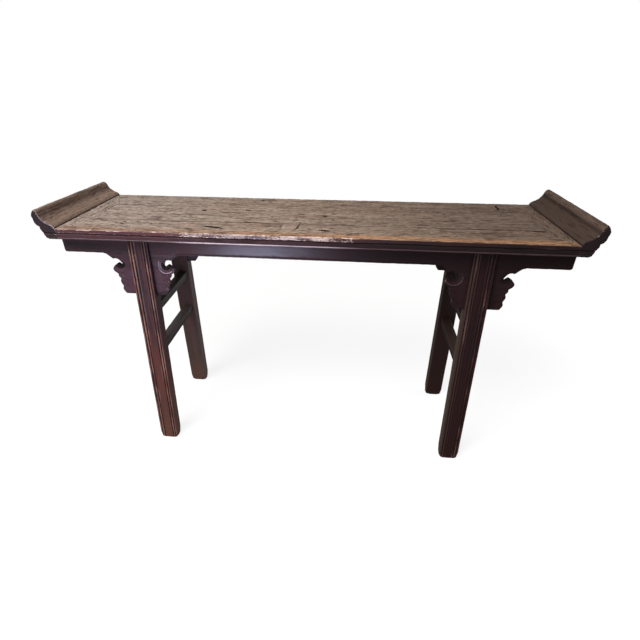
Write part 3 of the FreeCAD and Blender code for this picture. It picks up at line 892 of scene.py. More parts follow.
wing_lines = []
for way in (1, -1):
    wing_lines += slit_lines([([wing_place(u, v, way) for u, v in line], half, depth)
                              for line, half, depth in wing_cuts])
    wing_lines.append(np.array([wing_place(scroll_middle[0] + scroll_rim * math.cos(turn),
                                           scroll_middle[1] + scroll_rim * math.sin(turn), way)
                                for turn in np.linspace(0, 1.2 * math.pi, 50)]))
wing_lines += [line for line in edge_lines if line[:, 0].max() > leg_middle - wing_reach]
wing_outline = stepped(np.vstack([wing_right, wing_left]), edge_pitch)
wing_nets = board_net(wing_outline, wing_lines, (wing_pitch, wing_pitch), 5, carved_wing)
# The pale lilac rub colours make each rubbed place on the carving partly wear and partly a painted
# highlight.
wing_lacquer = lacquered("carving_lacquer", along_x, 7.3, light=paint(80, 58, 72),
                         red=paint(68, 40, 50), rub=(paint(104, 84, 96), paint(168, 152, 166)))


def upright(side, face):
    """Turns places across and up, and depth behind the outer face, into points of one corner."""
    def stand(flat, depth):
        return np.column_stack([flat[:, 0] * side, (apron_high.y - depth) * face, flat[:, 1]])

    return stand


(flat, triangles, ring, drop, rubbed, sunk), wing_back = wing_nets
wing_share = {1: np.where(flat[:, 0] < leg_middle, 1.2, 0.55), -1: 1.0}
for corner, side, face in corners:
    shown = (flat, triangles, ring, drop, np.clip(rubbed * wing_share[side], 0, 1), sunk)
    carving = plate(corner + "_wings", (shown, wing_back), wing_thickness, upright(side, face))
    weather(carving, along_x, 7.3 + side * 2 + face, wing_lacquer, (0.0003, 0.05), (0.0007, 0.008), 0.0001)
    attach(carving, "root")
    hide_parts(corner + "_spandrel")

# Aprons: a long board under each edge of the top runs through the slots of both legs. Its
# lower edge carries on the arris and the fine line of the spandrels, and its ends are rounded.
apron_pitch = (0.011, 0.006)
apron_shade = 0.032
apron_shade_fade = 0.008
apron_painted_shadow = 0.28
apron_edge_pitch = 0.004


def carved_apron(flat):
    """Relief of a long apron, with a painted shadow darkening it close under the top."""
    _, drop, rubbed, sunk = carved_edge(flat)
    shaded = apron_painted_shadow * ramp(flat[:, 1], top_under - apron_shade, apron_shade_fade)
    return drop, rubbed, np.maximum(sunk, shaded)


half_apron = np.vstack([[(0.0, top_under), (apron_end, top_under)], corner_turn,
                        [(0.0, apron_under)]])
mirrored_apron = half_apron[::-1] * (-1, 1)
apron_outline = np.vstack([spaced(half_apron, apron_edge_pitch),
                           spaced(mirrored_apron, apron_edge_pitch)[1:-1]])
apron_nets = board_net(apron_outline, edge_lines, apron_pitch, 8, carved_apron)
apron_lacquer = lacquered("apron_lacquer", along_x, 11.9, light=paint(70, 44, 56), red=paint(72, 36, 40))
for name, face in (("rear", 1), ("front", -1)):
    board = plate(name + "_skirt", apron_nets, wing_thickness, upright(1, face))
    weather(board, along_x, 11.9 + face, apron_lacquer, (0.0005, 0.14), (0.0008, 0.012), 0.0001)
    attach(board, "root")
    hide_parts(name + "_apron")

# End aprons: a short board closes the apron under each flange, housed between the two long
# aprons. It shows only from the ends and from below, and its lacquer has stayed dull.
end_apron_arris = 0.002

end_lacquer = lacquered("end_apron_lacquer", along_y, 13.1, light=paint(60, 42, 46), red=paint(62, 36, 36))
for side in ("right", "left"):
    low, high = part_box(side + "_end_apron")
    closing = bar(side + "_end_board", (low.x, low.z), (high.x, high.z), end_apron_arris, high.y)
    weather(closing, along_y, 13.1, end_lacquer, (0.0005, 0.09), (0.0008, 0.014), 0.0002)
    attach(closing, "root")
    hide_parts(side + "_end_apron")

# Boards: two planks of old elm float in the frame. Their faces are washed out to taupe, the
# soft growth lines are worn below the hard ones, and drying has opened many short slits.
board_pitch = (0.0085, 0.0017)
board_thickness = 0.02
board_arris = 0.0006
tongue = 0.008
chance_slit_count = 46
chance_slit_length = (0.03, 0.15)
chance_slit_half = (0.0007, 0.0014)
chance_slit_depth = (0.001, 0.0024)
chance_slit_margin = (0.01, 0.006)
chance_slit_step = 0.012
chance_slit_waver = 0.0005
board_slits = (
    ([(-0.377, 0.031), (-0.369, 0.029), (-0.361, 0.0262)], 0.0052, 0.0034),
    ([(-0.227, 0.047), (-0.22, 0.0454), (-0.212, 0.045)], 0.0032, 0.003),
    ([(-0.04, 0.0152), (-0.029, 0.0132), (-0.0187, 0.012)], 0.004, 0.003),
    ([(0.044, -0.0048), (0.051, -0.0054), (0.06, -0.005)], 0.003, 0.0026),
    ([(-0.655, -0.038), (-0.612, -0.0368), (-0.56, -0.0374), (-0.51, -0.0362)], 0.0018, 0.003),
    ([(-0.0256, -0.083), (-0.025, -0.079), (-0.0246, -0.0745)], 0.0024, 0.003),
    ([(0.21, 0.051), (0.262, 0.0518), (0.33, 0.0512)], 0.0019, 0.0028),
    ([(0.33, -0.024), (0.371, -0.0231), (0.44, -0.0236), (0.48, -0.0229)], 0.0018, 0.0026),
)


def old_elm(name, turn, seed, light, middle, deep, front=0.72, shade=paint(84, 64, 52),
            dim=0.62, left_grey=0.45, flecks=1.0,
            lacquer=(paint(38, 20, 24), paint(84, 50, 58), paint(88, 42, 38))):
    """Weathered elm: greyer at the left, darkened by painted shade at the right, warm along the front edge,
    with worn growth lines. Old lacquer is left where nothing rubbed, chipped in places, with a painted
    highlight in others."""
    material, tree, shader, place, axes, grain, wear = start_material(name, turn, seed)
    across = axes["X"]
    left, chipped, polished = [attribute(tree, label) for label in ("coat", "chipped", "polished")]
    band = raise_by(tree, grain["Line"], 0.03, raise_by(tree, grain["Figure"], 0.05, axes["Y"]))
    band = product(tree, fade(tree, band, -0.124, -0.15), rest(tree, left))
    warm = layered(tree, paint(146, 110, 88), (fade(tree, across, -0.5, 0.3), paint(188, 134, 88)))
    # Painted shade: the wood darkens towards the right, less so along the front band.
    far = product(tree, fade(tree, across, -0.2, 0.7), dim, raise_by(tree, band, -0.85 * front, 1.0))
    # Partly dust and partly painted light: a lighter tone where the mesh carries the dust-and-light share.
    dust = product(tree, raise_by(tree, grain["Line"], 0.5, 0.6), attribute(tree, "dusty"))
    pale = product(tree, fade(tree, grain["Fleck"], 0.44, 0.32), 0.45 * flecks, rest(tree, far))
    wood = layered(tree, middle, (fade(tree, grain["Streak"], 0.26, 0.74), light),
                   (product(tree, fade(tree, grain["Figure"], 0.45, 0.62), 0.35), paint(150, 122, 108)),
                   (product(tree, fade(tree, across, -0.05, -0.6), left_grey), paint(158, 146, 140)),
                   (product(tree, band, front), warm), (far, shade), (dust, paint(132, 112, 98)),
                   (product(tree, fade(tree, grain["Line"], 0.47, 0.36), 0.35 + 0.5 * flecks), deep),
                   (product(tree, fade(tree, grain["Fibre"], 0.5, 0.36), 0.55), deep),
                   (product(tree, grain["Slit"], 0.8), paint(44, 30, 24)), (pale, paint(198, 178, 162)),
                   (product(tree, fade(tree, grain["Fleck"], 0.56, 0.66), 0.8 * flecks), deep))
    coat = fade(tree, raise_by(tree, grain["Line"], 0.3, left), 0.45, 0.75)
    coat = reckon(tree, "SUBTRACT", coat, product(tree, wear["Bare"], 0.85))
    coat = reckon(tree, "MAXIMUM", coat, 0.0)
    thin = raise_by(tree, grain["Line"], 0.35, grain["Figure"])
    # Painted shade: the lacquer, the painted highlight and the dark sunk tone darken towards the right, and
    # the coat's gloss drops there.
    dark = product(tree, fade(tree, across, -0.2, 0.35), 0.86)
    tint = layered(tree, lacquer[0], (fade(tree, grain["Streak"], 0.36, 0.64), lacquer[1]),
                   (fade(tree, thin, 0.62, 0.84), lacquer[2]), (dark, paint(26, 9, 10)))
    flakes = cloud(tree, place, (150.0, 240.0, 320.0), seed)
    flakes = raise_by(tree, cloud(tree, place, (24.0, 60.0, 110.0), seed), 0.9,
                      reckon(tree, "SUBTRACT", flakes, 0.45))
    chip = product(tree, fade(tree, raise_by(tree, chipped, 0.28, flakes), 0.62, 0.74),
                   fade(tree, chipped, 0.05, 0.3))
    split = layered(tree, paint(220, 200, 190), (fade(tree, grain["Fibre"], 0.4, 0.6), paint(146, 128, 128)))
    # Painted highlight: a pale lilac stands in for the sheen on beads and arrises, and the coat's gloss is
    # cut where it lies.
    shine = layered(tree, paint(70, 52, 58), (fade(tree, polished, 0.5, 1.0), paint(182, 162, 172)),
                    (dark, paint(60, 40, 42)))
    shown = fade(tree, polished, 0.05, 0.45)
    # Sunk places darken, partly with dirt and partly with painted shade.
    dirt_and_shade = reckon(tree, "MAXIMUM", wear["Grime"], fade(tree, attribute(tree, "sunk"), 0.15, 0.7))
    dirt_and_shade_tone = layered(tree, paint(44, 20, 26), (dark, paint(18, 7, 7)))
    dirt_and_shade_tone = layered(tree, paint(22, 14, 13), (left, dirt_and_shade_tone))
    colour = layered(tree, wood, (coat, tint), (product(tree, chip, 0.9), split), (shown, shine),
                     (dirt_and_shade, dirt_and_shade_tone))
    glossy = product(tree, coat, raise_by(tree, chip, -0.8, 0.9), raise_by(tree, dark, -0.7, 1.0),
                     raise_by(tree, shown, -0.85, 1.0), rest(tree, dirt_and_shade))
    height = raise_by(tree, grain["Line"], 1.2, product(tree, grain["Fibre"], 0.6))
    height = raise_by(tree, chip, -0.8, reckon(tree, "SUBTRACT", height, grain["Slit"]))
    set_shader(tree, shader, colour, raise_by(tree, grain["Fibre"], 0.2, 0.6), glossy, 0.25,
               height, 0.0009)
    return material


def chance_slits(count, low, high, seed):
    """Short drying slits along the grain, spread by chance over a board."""
    spread = np.random.RandomState(seed)
    made = []
    for _ in range(count):
        length = spread.uniform(*chance_slit_length)
        x = spread.uniform(low[0] + chance_slit_margin[0], high[0] - length - chance_slit_margin[0])
        y = spread.uniform(low[1] + chance_slit_margin[1], high[1] - chance_slit_margin[1])
        steps = np.linspace(0, 1, max(4, round(length / chance_slit_step)))
        bends = np.cumsum(spread.uniform(-chance_slit_waver, chance_slit_waver, len(steps)))
        line = np.column_stack([x + steps * length, y + bends - bends.mean()])
        made.append((line, spread.uniform(*chance_slit_half), spread.uniform(*chance_slit_depth)))
    return made


def eased_plank(flat, gap, slits, arris, soil=0.12):
    """Drop, rubbing and sinking of a plank with slits, eased where the gap to its edge is nought."""
    cut, inside = slit_drop(flat, slits)
    edge = near(gap, arris)
    return np.maximum(rounding(gap, arris), cut), 0.8 - 0.2 * edge, np.maximum(inside, edge * soil)


def weathered_face(outline, slits, arris, **soil):
    """Relief of a plank: eased edges and slits."""
    def carve(flat):
        return eased_plank(flat, away(flat, closed(outline))[0], slits, arris, **soil)

    return carve


def laid(top, way=(1, 1)):
    """Turns places in plan, mirrored or not, and depth under the top, into points."""
    def stand(flat, depth):
        return np.column_stack([flat * way, top - depth])

    return stand


top_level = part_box("front_top_board")[1].z
board_elm = old_elm("board_elm", along_x, 21.0, paint(170, 153, 138), paint(132, 113, 99),
                    paint(66, 49, 42))
for number, (name, grown) in enumerate((("front", (1, 0)), ("rear", (0, 1)))):
    low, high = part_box(name + "_top_board")
    low = (low.x + tongue, low.y + tongue * grown[0])
    high = (high.x - tongue, high.y - tongue * grown[1])
    corners_flat = np.array([low, (high[0], low[1]), high, (low[0], high[1])])
    inset = np.sign(corners_flat - corners_flat.mean(0)) * board_arris
    inner = spaced(closed(corners_flat - inset), board_pitch[0])
    slits = [slit for slit in board_slits if low[1] < slit[0][0][1] < high[1]]
    slits += chance_slits(chance_slit_count, low, high, 31 + number)
    nets = board_net(stepped(corners_flat, board_pitch[0]), slit_lines(slits) + [inner], board_pitch,
                     17 + number, weathered_face(corners_flat, slits, board_arris))
    plank = plate(name + "_plank", nets, board_thickness, laid(top_level))
    weather(plank, along_x, 21.0, board_elm, (0.0006, 0.16), (0.0003, 0.02), 0.0006)
    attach(plank, "root")
    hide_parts(name + "_top_board")

# Long rails: the front and rear members of the frame, mitred at their ends. Their outer edges
# carry a band, a quirk, a sunk field and a bead, lacquered below and worn bare above.
rail_width = 0.116
rail_half = 0.7635
rail_inner_half = 0.707
edge_round = 0.003
edge_band = 0.0132
edge_quirk = 0.0056
edge_quirk_depth = 0.0036
edge_lip = 0.0015
edge_recess = 0.0008
edge_bead = 0.006
edge_bead_round = 0.003
edge_bead_quirk = 0.0012
rail_thickness = top_level - top_under
rail_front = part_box("rear_top_rail")[1].y
rail_stations = 190
worn_middle = -0.12
worn_half = 0.31
worn_fade = 0.12
chipped_until = 0.22
lip_chipped_until = -0.42
chipped_fade = 0.1
grime_and_shade_from = -0.45
grime_and_shade_fade = 0.2
rail_slit_count = 26
rail_slit_field = ((-0.69, 0.1), (0.69, 0.2))


def moulded_rows():
    """Section of a rail from its top round the edge to its inner side: depth, drop, rubbed,
    sunk and coat."""
    quirk_low = edge_band + edge_quirk
    bead_high = rail_thickness - edge_bead
    rows = []
    for turn in np.linspace(0, math.pi / 2, 5):
        rows.append((edge_round * (1 - math.sin(turn)), edge_round * (1 - math.cos(turn)),
                     0.95, 0, 0.1 + 0.3 * turn))
    for drop in np.linspace(edge_round, edge_band - edge_lip, 4)[1:]:
        rows.append((0, drop, 0.5, 0, 0.9))
    rows += [(0, edge_band - edge_lip / 3, 0.95, 0, 1), (edge_lip / 3, edge_band, 1.05, 0, 1)]
    for share in (0.2, 0.45, 0.7):
        rows.append((edge_quirk_depth * math.sin(math.pi * share) ** 0.6,
                     edge_band + edge_quirk * share, 0, 1 if share < 0.6 else 0.6, 1))
    # The sunk values of the quirks and the field darken them, partly dirt and partly painted shade; the
    # field's darkening is painted shade.
    rows.append((edge_recess, quirk_low, 0.2, 0.58, 1))
    for drop in np.linspace(quirk_low, bead_high - edge_bead_quirk, 4)[1:]:
        rows.append((edge_recess, drop, 0.2, 0.58, 1))
    rows.append((edge_recess + edge_bead_quirk, bead_high, 0, 0.8, 1))
    for turn in np.linspace(0.15, 1, 7) * math.pi:
        rows.append((edge_bead_round * (1 - math.sin(turn)),
                     rail_thickness - edge_bead_round * (1 + math.cos(turn)), 0.5, 0, 1))
    rows += [(rail_width / 3, rail_thickness, 0.1, 0, 0.8),
             (rail_width, rail_thickness, 0.1, 0, 0.4), (rail_width, 0, 0.1, 0, 0.2)]
    return np.array(rows)


def rail_reach(depth):
    """Half length of a long rail at a depth behind its outer edge, out to the mitre."""
    return rail_half - depth / rail_width * (rail_half - rail_inner_half)


def long_rail(name, face, slits, hole, seed):
    """One long rail: its moulded edge, and its top face with slits and the patch's recess. The
    edge is worn about its middle, chipped at the left, darkened in its quirks and field by soiling and
    painted shade, less towards the left end, and given a painted highlight along its bead."""
    rows = moulded_rows()
    shares = np.linspace(-1, 1, rail_stations)
    count = len(rows)
    rings = np.array([[(share * rail_reach(row[0]), rail_front - row[0], top_level - row[1])
                       for row in rows] for share in shares])
    faces = [(at + place, at + place + 1, at + count + place + 1, at + count + place)
             for at in range(0, count * (rail_stations - 1), count) for place in range(count - 1)]
    outer, inner = [np.column_stack([shares * half, np.full(rail_stations, y)]) for half, y in
                    ((rail_reach(edge_round), rail_front - edge_round),
                     (rail_inner_half, rail_front - rail_width))]
    mitres = [spaced(np.array(ends), board_pitch[1] * 2)[1:-1]
              for ends in ((outer[-1], inner[-1]), (inner[0], outer[0]))]
    outline = np.vstack([outer, mitres[0], inner[::-1], mitres[1]])
    loops = []
    if hole:
        loops = [closed(np.array(hole))]
        loops.append(loops[0] * (1 - recess_wall) + np.mean(hole, axis=0) * recess_wall)
    flat, triangles, _ = net(outline, slit_lines(slits) + loops, board_pitch, seed)
    joints = ((outer[-1], inner[-1]), (outer[0], inner[0]), (inner[0], inner[-1]))
    gap = np.min([away(flat, np.array(joint))[0] for joint in joints], axis=0)
    drop, rubbed, sunk = eased_plank(flat, gap, slits, board_arris)
    if hole:
        deep = within(flat, np.array(hole)) & (away(flat, loops[0])[0] > weld / 2)
        drop[deep] = patch_depth
    start = rail_stations * count
    faces += [tuple(start + place for place in triangle) for triangle in triangles]
    points = np.vstack([rings.reshape(-1, 3), laid(top_level)(flat, drop)]) * (1, face, 1)
    along = rings[:, :, 0]
    worn = ramp(-abs(along - worn_middle), -worn_half, worn_fade)
    in_band = (rows[:, 1] <= edge_band).astype(float) * (rows[:, 0] <= edge_round)
    on_arris = (rows[:, 1] < edge_round) * in_band
    on_lip = (abs(rows[:, 1] - edge_band) < edge_lip) * in_band
    left_part = ramp(-along, -chipped_until, chipped_fade)
    far_left = ramp(-along, -lip_chipped_until, chipped_fade)
    chipped = np.maximum(left_part * on_arris * 0.35, far_left * on_lip * 0.25)
    graded = in_band * np.maximum(1 - 0.5 * rows[:, 1] / edge_band, 0.85 * on_lip)
    chipped = np.maximum(worn * graded, chipped) * (1.0 if face < 0 else 0.6)
    # Painted highlight: the bead's crown is painted pale, most about the worn middle.
    crown = (rows[:, 1] > rail_thickness - edge_bead) * (rows[:, 0] < edge_bead_round)
    crown = crown * (rows[:, 1] < rail_thickness - edge_bead_round * 0.7)
    grime_and_shade_rows = rows[:, 3] * (0.65 + 0.35 * ramp(along, grime_and_shade_from, grime_and_shade_fade))
    bare = np.zeros(len(flat))
    return skin(name, points, faces,
                joined(rows[:, 2] * (0.75 + 0.25 * worn), rubbed), joined(grime_and_shade_rows, sunk),
                coat=joined(np.tile(rows[:, 4], rail_stations), bare), chipped=joined(chipped, bare),
                polished=joined(crown * (0.5 + 0.5 * worn), bare))


patch_low, patch_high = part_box("top_patch")
patch_skew = 0.009
patch_room = 0.0006
patch_depth = 0.004
recess_wall = 0.002
patch_hole = [(patch_low.x - patch_room, -patch_high.y), (patch_high.x + patch_room, -patch_high.y),
              (patch_high.x + patch_room - patch_skew, -patch_low.y + patch_room),
              (patch_low.x - patch_room, -patch_low.y + patch_room)]
front_slits = [
    ([(-0.319, 0.14), (-0.301, 0.1432), (-0.279, 0.1486), (-0.256, 0.153)], 0.0046, 0.0045),
    ([(0.04, 0.144), (0.057, 0.1462), (0.074, 0.1498)], 0.004, 0.004),
    ([(-0.0362, 0.15), (-0.0322, 0.13), (-0.03, 0.112), (-0.0262, 0.09)], 0.003, 0.0045),
    ([(-0.59, 0.1372), (-0.586, 0.1346), (-0.58, 0.1352)], 0.004, 0.003),
    ([(-0.587, 0.114), (-0.5835, 0.1156), (-0.579, 0.115)], 0.003, 0.003)]
rear_slits = [
    ([(0.643, 0.183), (0.638, 0.165), (0.639, 0.145), (0.635, 0.125)], 0.0022, 0.003),
    ([(-0.198, 0.179), (-0.19, 0.18), (-0.181, 0.1796)], 0.0036, 0.003)]
patch_surround = (-0.16, 0.02, 0.155)
rail_elm = old_elm("rail_elm", along_x, 33.0, paint(168, 150, 134), paint(130, 111, 96),
                   paint(66, 49, 41))
rails = (("front", -1, front_slits, patch_hole), ("rear", 1, rear_slits, []))
for number, (name, face, own, hole) in enumerate(rails):
    slits = chance_slits(rail_slit_count, *rail_slit_field, 51 + number)
    if hole:
        left, right, behind = patch_surround
        slits = [slit for slit in slits
                 if not (left < slit[0][:, 0].mean() < right and slit[0][:, 1].mean() < behind)]
    rail = long_rail(name + "_member", face, own + slits, hole, 61 + number)
    weather(rail, along_x, 33.0, rail_elm, (0.0005, 0.12), (0.0012, 0.009), 0.0005)
    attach(rail, "root")
    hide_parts(name + "_top_rail")

# End rails: short members of old elm with their grain across the table, tenoned into the long
# rails at the mitres. The flange's tongue sits in their outer edge, and drying has cracked them.
end_elm = old_elm("end_rail_elm", along_y, 41.0, paint(152, 136, 122), paint(120, 102, 90),
                  paint(62, 46, 39), front=0.3)
blunt_tip = 0.0045
end_edge_pitch = 0.004
end_pitch = (0.0022, 0.006)
end_cracks = {
    1: [([(0.749, -0.09), (0.731, -0.083), (0.716, -0.077), (0.717, -0.033),
          (0.709, -0.02), (0.711, 0.01), (0.7125, 0.05), (0.7115, 0.088)], 0.0009, 0.003)],
    -1: [([(0.719, -0.022), (0.711, 0.015), (0.7105, 0.054), (0.712, 0.068)], 0.0009, 0.003)],
}
for name, side in (("right", 1), ("left", -1)):
    inner_y, tip_y = rail_front - rail_width, rail_front - blunt_tip
    half_outline = [(rail_inner_half, inner_y), (rail_reach(blunt_tip), tip_y), (rail_half, tip_y)]
    corners_flat = np.array([(x, -y) for x, y in half_outline] + half_outline[::-1])
    slits = end_cracks[side]
    nets = board_net(stepped(corners_flat, end_edge_pitch), slit_lines(slits), end_pitch, 71 + side,
                     weathered_face(corners_flat, slits, board_arris))
    member = plate(name + "_end_member", nets, rail_thickness, laid(top_level, (side, 1)))
    weather(member, along_y, 41.0, end_elm, (0.0005, 0.09), (0.0003, 0.02), 0.0004)
    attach(member, "root")
    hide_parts(name + "_end_rail")

# Patch: a small repair of newer elm let into a shallow recess of the front rail. Its right side
# is cut askew, its arrises are eased, and dirt has gathered in the joint round it.
patch_arris = 0.0018
patch_thickness = 0.0039
patch_edge_pitch = 0.003
patch_pitch = (0.004, 0.0015)

patch_elm = old_elm("patch_elm", along_x, 47.0, paint(168, 149, 136), paint(140, 120, 108),
                    paint(90, 70, 60), front=0.1)
patch_flat = np.array([(patch_low.x, -patch_high.y), (patch_high.x, -patch_high.y),
                       (patch_high.x - patch_skew, -patch_low.y), (patch_low.x, -patch_low.y)])
patch_nets = board_net(stepped(patch_flat, patch_edge_pitch), (), patch_pitch, 83,
                       weathered_face(patch_flat, (), patch_arris, soil=0.6))
inlay = plate("patch", patch_nets, patch_thickness, laid(top_level, (1, -1)))
weather(inlay, along_x, 47.0, patch_elm, (0.0003, 0.05), (0.0003, 0.02), 0.0004)
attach(inlay, "root")
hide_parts("top_patch")

# Flanges: one thick piece at each end, planed to a scroll that rises out of the top and
# curls over outwards, tongued to the end rail. Its ends carry on the moulding of the top.
flange_path = [
    (0.0, -1.0), (0.0, 0.018),
    [(0.042, 0.11), (0.125, 0.19)],
    [(0.248, 0.255), (0.372, 0.336), (0.481, 0.44), (0.565, 0.58), (0.618, 0.74),
     (0.668, 0.89), (0.735, 0.98), (0.81, 0.998), (0.89, 0.95), (0.955, 0.85),
     (0.998, 0.69), (0.962, 0.46)],
    [(0.94, 0.283), (0.868, 0.159), (0.747, 0.064)],
    [(0.741, -0.087), (0.667, -0.362)], (0.605, -0.681),
    [(0.535, -0.878), (0.403, -1.0)],
]
flange_reach = 0.0645
flange_rise = 0.0565
flange_arris = 0.0012
flange_end_round = 0.012
flange_line = 0.0072
flange_line_half = 0.0007
flange_line_lip = 0.0006
flange_line_depth = 0.0004
flange_worn = 0.002
flange_station = 0.009
flange_pitch = 0.0022
flange_ends = (0, 0.004, 0.009, 0.015, 0.022)
flange_ridge = (0.8, 0.2)
flange_valley_shade = (0.64, 0.2)
flange_painted_light = (0.68, 0.12)
# Per side: soil sets the painted shade in the valley, dust the painted light on the wall that rises to the
# roll, and shine the painted highlight along the ends' upper arris.
flange_state = {1: {"fall": 0.0, "soil": 0.46, "dust": 0.34, "coat": 0.3, "worn": 1.5, "shine": 0.3},
                -1: {"fall": 0.0075, "soil": 0.32, "dust": 0.85, "coat": 0.2, "worn": 2.2, "shine": 1.0}}


def flange_place(reach, level):
    """Place of a pair of shares in the flange's outline: outwards from the joint, and height."""
    return (rail_half + reach * flange_reach,
            top_level + level * (flange_rise if level > 0 else rail_thickness))


flange_outline = traced(flange_path, flange_pitch, flange_place)
flange_outline = stepped(flange_outline, edge_pitch)
flange_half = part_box("right_flange")[1].y
visible_edge = spaced(flange_outline[2:], flange_pitch)
flange_lines = insets(closed(flange_outline), [flange_arris * 0.35, flange_arris])
flange_lines += insets(visible_edge, [flange_line + gap for gap in (-flange_line_lip, 0, flange_line_lip)])
for drop in (edge_band, edge_band + edge_quirk / 2, edge_band + edge_quirk,
             rail_thickness - edge_bead - edge_bead_quirk, rail_thickness - edge_bead):
    level = np.array([(rail_half + reach, top_level - drop) for reach in (0, flange_reach)])
    flange_lines.append(spaced(level, flange_pitch))


def flange_face(flat):
    """Relief of a flange's end: eased edge, moulding and a fine line inside the contour."""
    gap = away(flat, closed(flange_outline))[0]
    drop_level = top_level - flat[:, 1]
    quirk = near(drop_level - edge_band - edge_quirk / 2, edge_quirk / 2)
    field = ramp(drop_level, edge_band + edge_quirk, edge_recess)
    field *= ramp(-drop_level, edge_bead - rail_thickness, edge_recess)
    line = near(away(flat, visible_edge)[0] - flange_line, flange_line_half)
    line *= drop_level < edge_band
    drop = rounding(gap, flange_arris) + quirk * edge_quirk_depth
    drop += field * edge_recess + line * flange_line_depth
    rubbed = np.maximum(0.85 * near(gap, flange_worn), 0.3)
    return drop, rubbed * (1 - quirk), np.clip(quirk + 0.7 * line, 0, 1)


def flange_tube(side, name):
    """Flange: its scrolled outline swept from front to back between two carved ends."""
    flat, triangles, ring = net(flange_outline, flange_lines, (flange_pitch, flange_pitch), 91)
    drop, rubbed, sunk = flange_face(flat)
    outer_y = flange_half - drop
    ends = [np.column_stack([flat[:, 0] * side, outer_y * way, flat[:, 1]]) for way in (1, -1)]
    edge = flange_outline
    middle_stations = np.linspace(-1, 1, round(2 * flange_half / flange_station))[1:-1]
    near_ends = 1 - np.array(flange_ends)
    stations = np.sort(np.concatenate([-near_ends, middle_stations, near_ends]))
    rings = [np.column_stack([edge[:, 0] * side, outer_y[ring] * share, edge[:, 1]])
             for share in stations]
    start = len(stations) * len(edge)
    faces = tube_faces(len(stations), len(edge))
    faces += [tuple(first + place for place in triangle)
              for first in (start, start + len(flat)) for triangle in triangles]
    state = flange_state[side]
    rise = (edge[:, 1] - top_level) / flange_rise
    ridge = ramp(rise, *flange_ridge)
    outside = (edge[:, 1] < top_level) | (edge[:, 0] > rail_half + flange_reach * 0.8)
    # Painted shade in the valley under the roll, and painted light on the wall above it.
    valley_shade = near(rise - flange_valley_shade[0], flange_valley_shade[1])
    painted_light_wall = ramp(rise, *flange_painted_light) * (edge[:, 0] < rail_half + flange_reach * 0.9)
    side_coat = np.where(outside, 0.75, state["coat"] - 0.15 * ridge)
    side_coat[edge[:, 0] < rail_half + weld] = 1
    points = np.vstack(rings + ends)
    above = ramp(points[:, 2], top_level, flange_rise)
    near_end = ramp(abs(points[:, 1]), flange_half - flange_end_round, flange_end_round)
    rounded = (1 - np.sqrt(1 - near_end ** 2)) * flange_end_round * 0.5
    points[:, 2] -= rounded * ramp(above, 0.5, 0.4)
    outwards = (abs(points[:, 0]) - rail_half) / flange_reach
    points[:, 0] -= side * rounded * ramp(outwards, 0.6, 1)
    back = ramp(points[:, 1], -flange_half, 2 * flange_half)
    points[:, 2] -= above * state["fall"] * back
    # Painted highlight: a pale line along the upper arris of each end, with chips.
    on_arris = np.clip(state["worn"] - away(flat, closed(edge))[0] / (flange_arris * 1.6), 0, 1)
    on_arris *= (flat[:, 1] > top_level) & (flat[:, 0] < rail_half + flange_reach * 0.72)

    def swept(side_values, end_values):
        """Values of one ring all along the flange, and of both its ends."""
        return joined(np.tile(side_values, len(stations)), end_values, end_values)

    no_wear = np.zeros(len(edge))
    return skin(name, points, faces, swept(np.where(outside, 0.3, 0.45) + 0.4 * ridge, rubbed),
                swept(np.where(outside, 0, state["soil"] * valley_shade), sunk),
                coat=swept(side_coat, np.full(len(flat), 0.95)),
                dusty=swept(state["dust"] * painted_light_wall, np.zeros(len(flat))),
                chipped=swept(no_wear, on_arris * 0.25),
                polished=swept(no_wear, on_arris * state["shine"]))


flange_elm = old_elm("flange_elm", along_y, 53.0, paint(142, 118, 102), paint(122, 100, 86),
                     paint(58, 42, 36), front=0.0, shade=paint(52, 41, 33), dim=0.9, left_grey=0.1,
                     flecks=0.2, lacquer=(paint(24, 14, 18), paint(40, 28, 36), paint(40, 20, 24)))
for name, side in (("right", 1), ("left", -1)):
    scroll = flange_tube(side, name + "_scroll")
    weather(scroll, along_y, 53.0 + side, flange_elm, (0.0006, 0.07), (0.0012, 0.012), 0.0003)
    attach(scroll, "root")
    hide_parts(name + "_flange")

# Battens: four bars of plain elm under the boards, dovetailed up into them and tenoned into
# both long rails. Their lower arrises are eased, and they were never lacquered.
batten_arris = 0.0022
batten_entry = 0.0005

raw_elm = old_elm("raw_elm", along_y, 67.0, paint(158, 130, 104), paint(126, 98, 74),
                  paint(78, 56, 42), front=0.0, dim=0.25)
batten_reach = -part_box("front_top_rail")[1].y + batten_entry
for number in range(1, 5):
    low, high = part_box(f"cross_batten_{number}")
    batten = bar(f"batten_{number}", (low.x, low.z), (high.x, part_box("front_top_board")[0].z),
                 batten_arris, batten_reach)
    weather(batten, along_y, 67.0 + number, raw_elm, (0.0006, 0.07), (0.001, 0.016), 0.0003)
    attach(batten, "root")
    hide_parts(f"cross_batten_{number}")

# Pegs: square, tapered and split from bare elm, driven up through the end rails from below.
# Four lock the tenons of the mitred corners, and three at each end lock the flange's tongue.
peg_side = 0.005
peg_proud = 0.0008
peg_taper = 0.8
peg_turn = 0.07


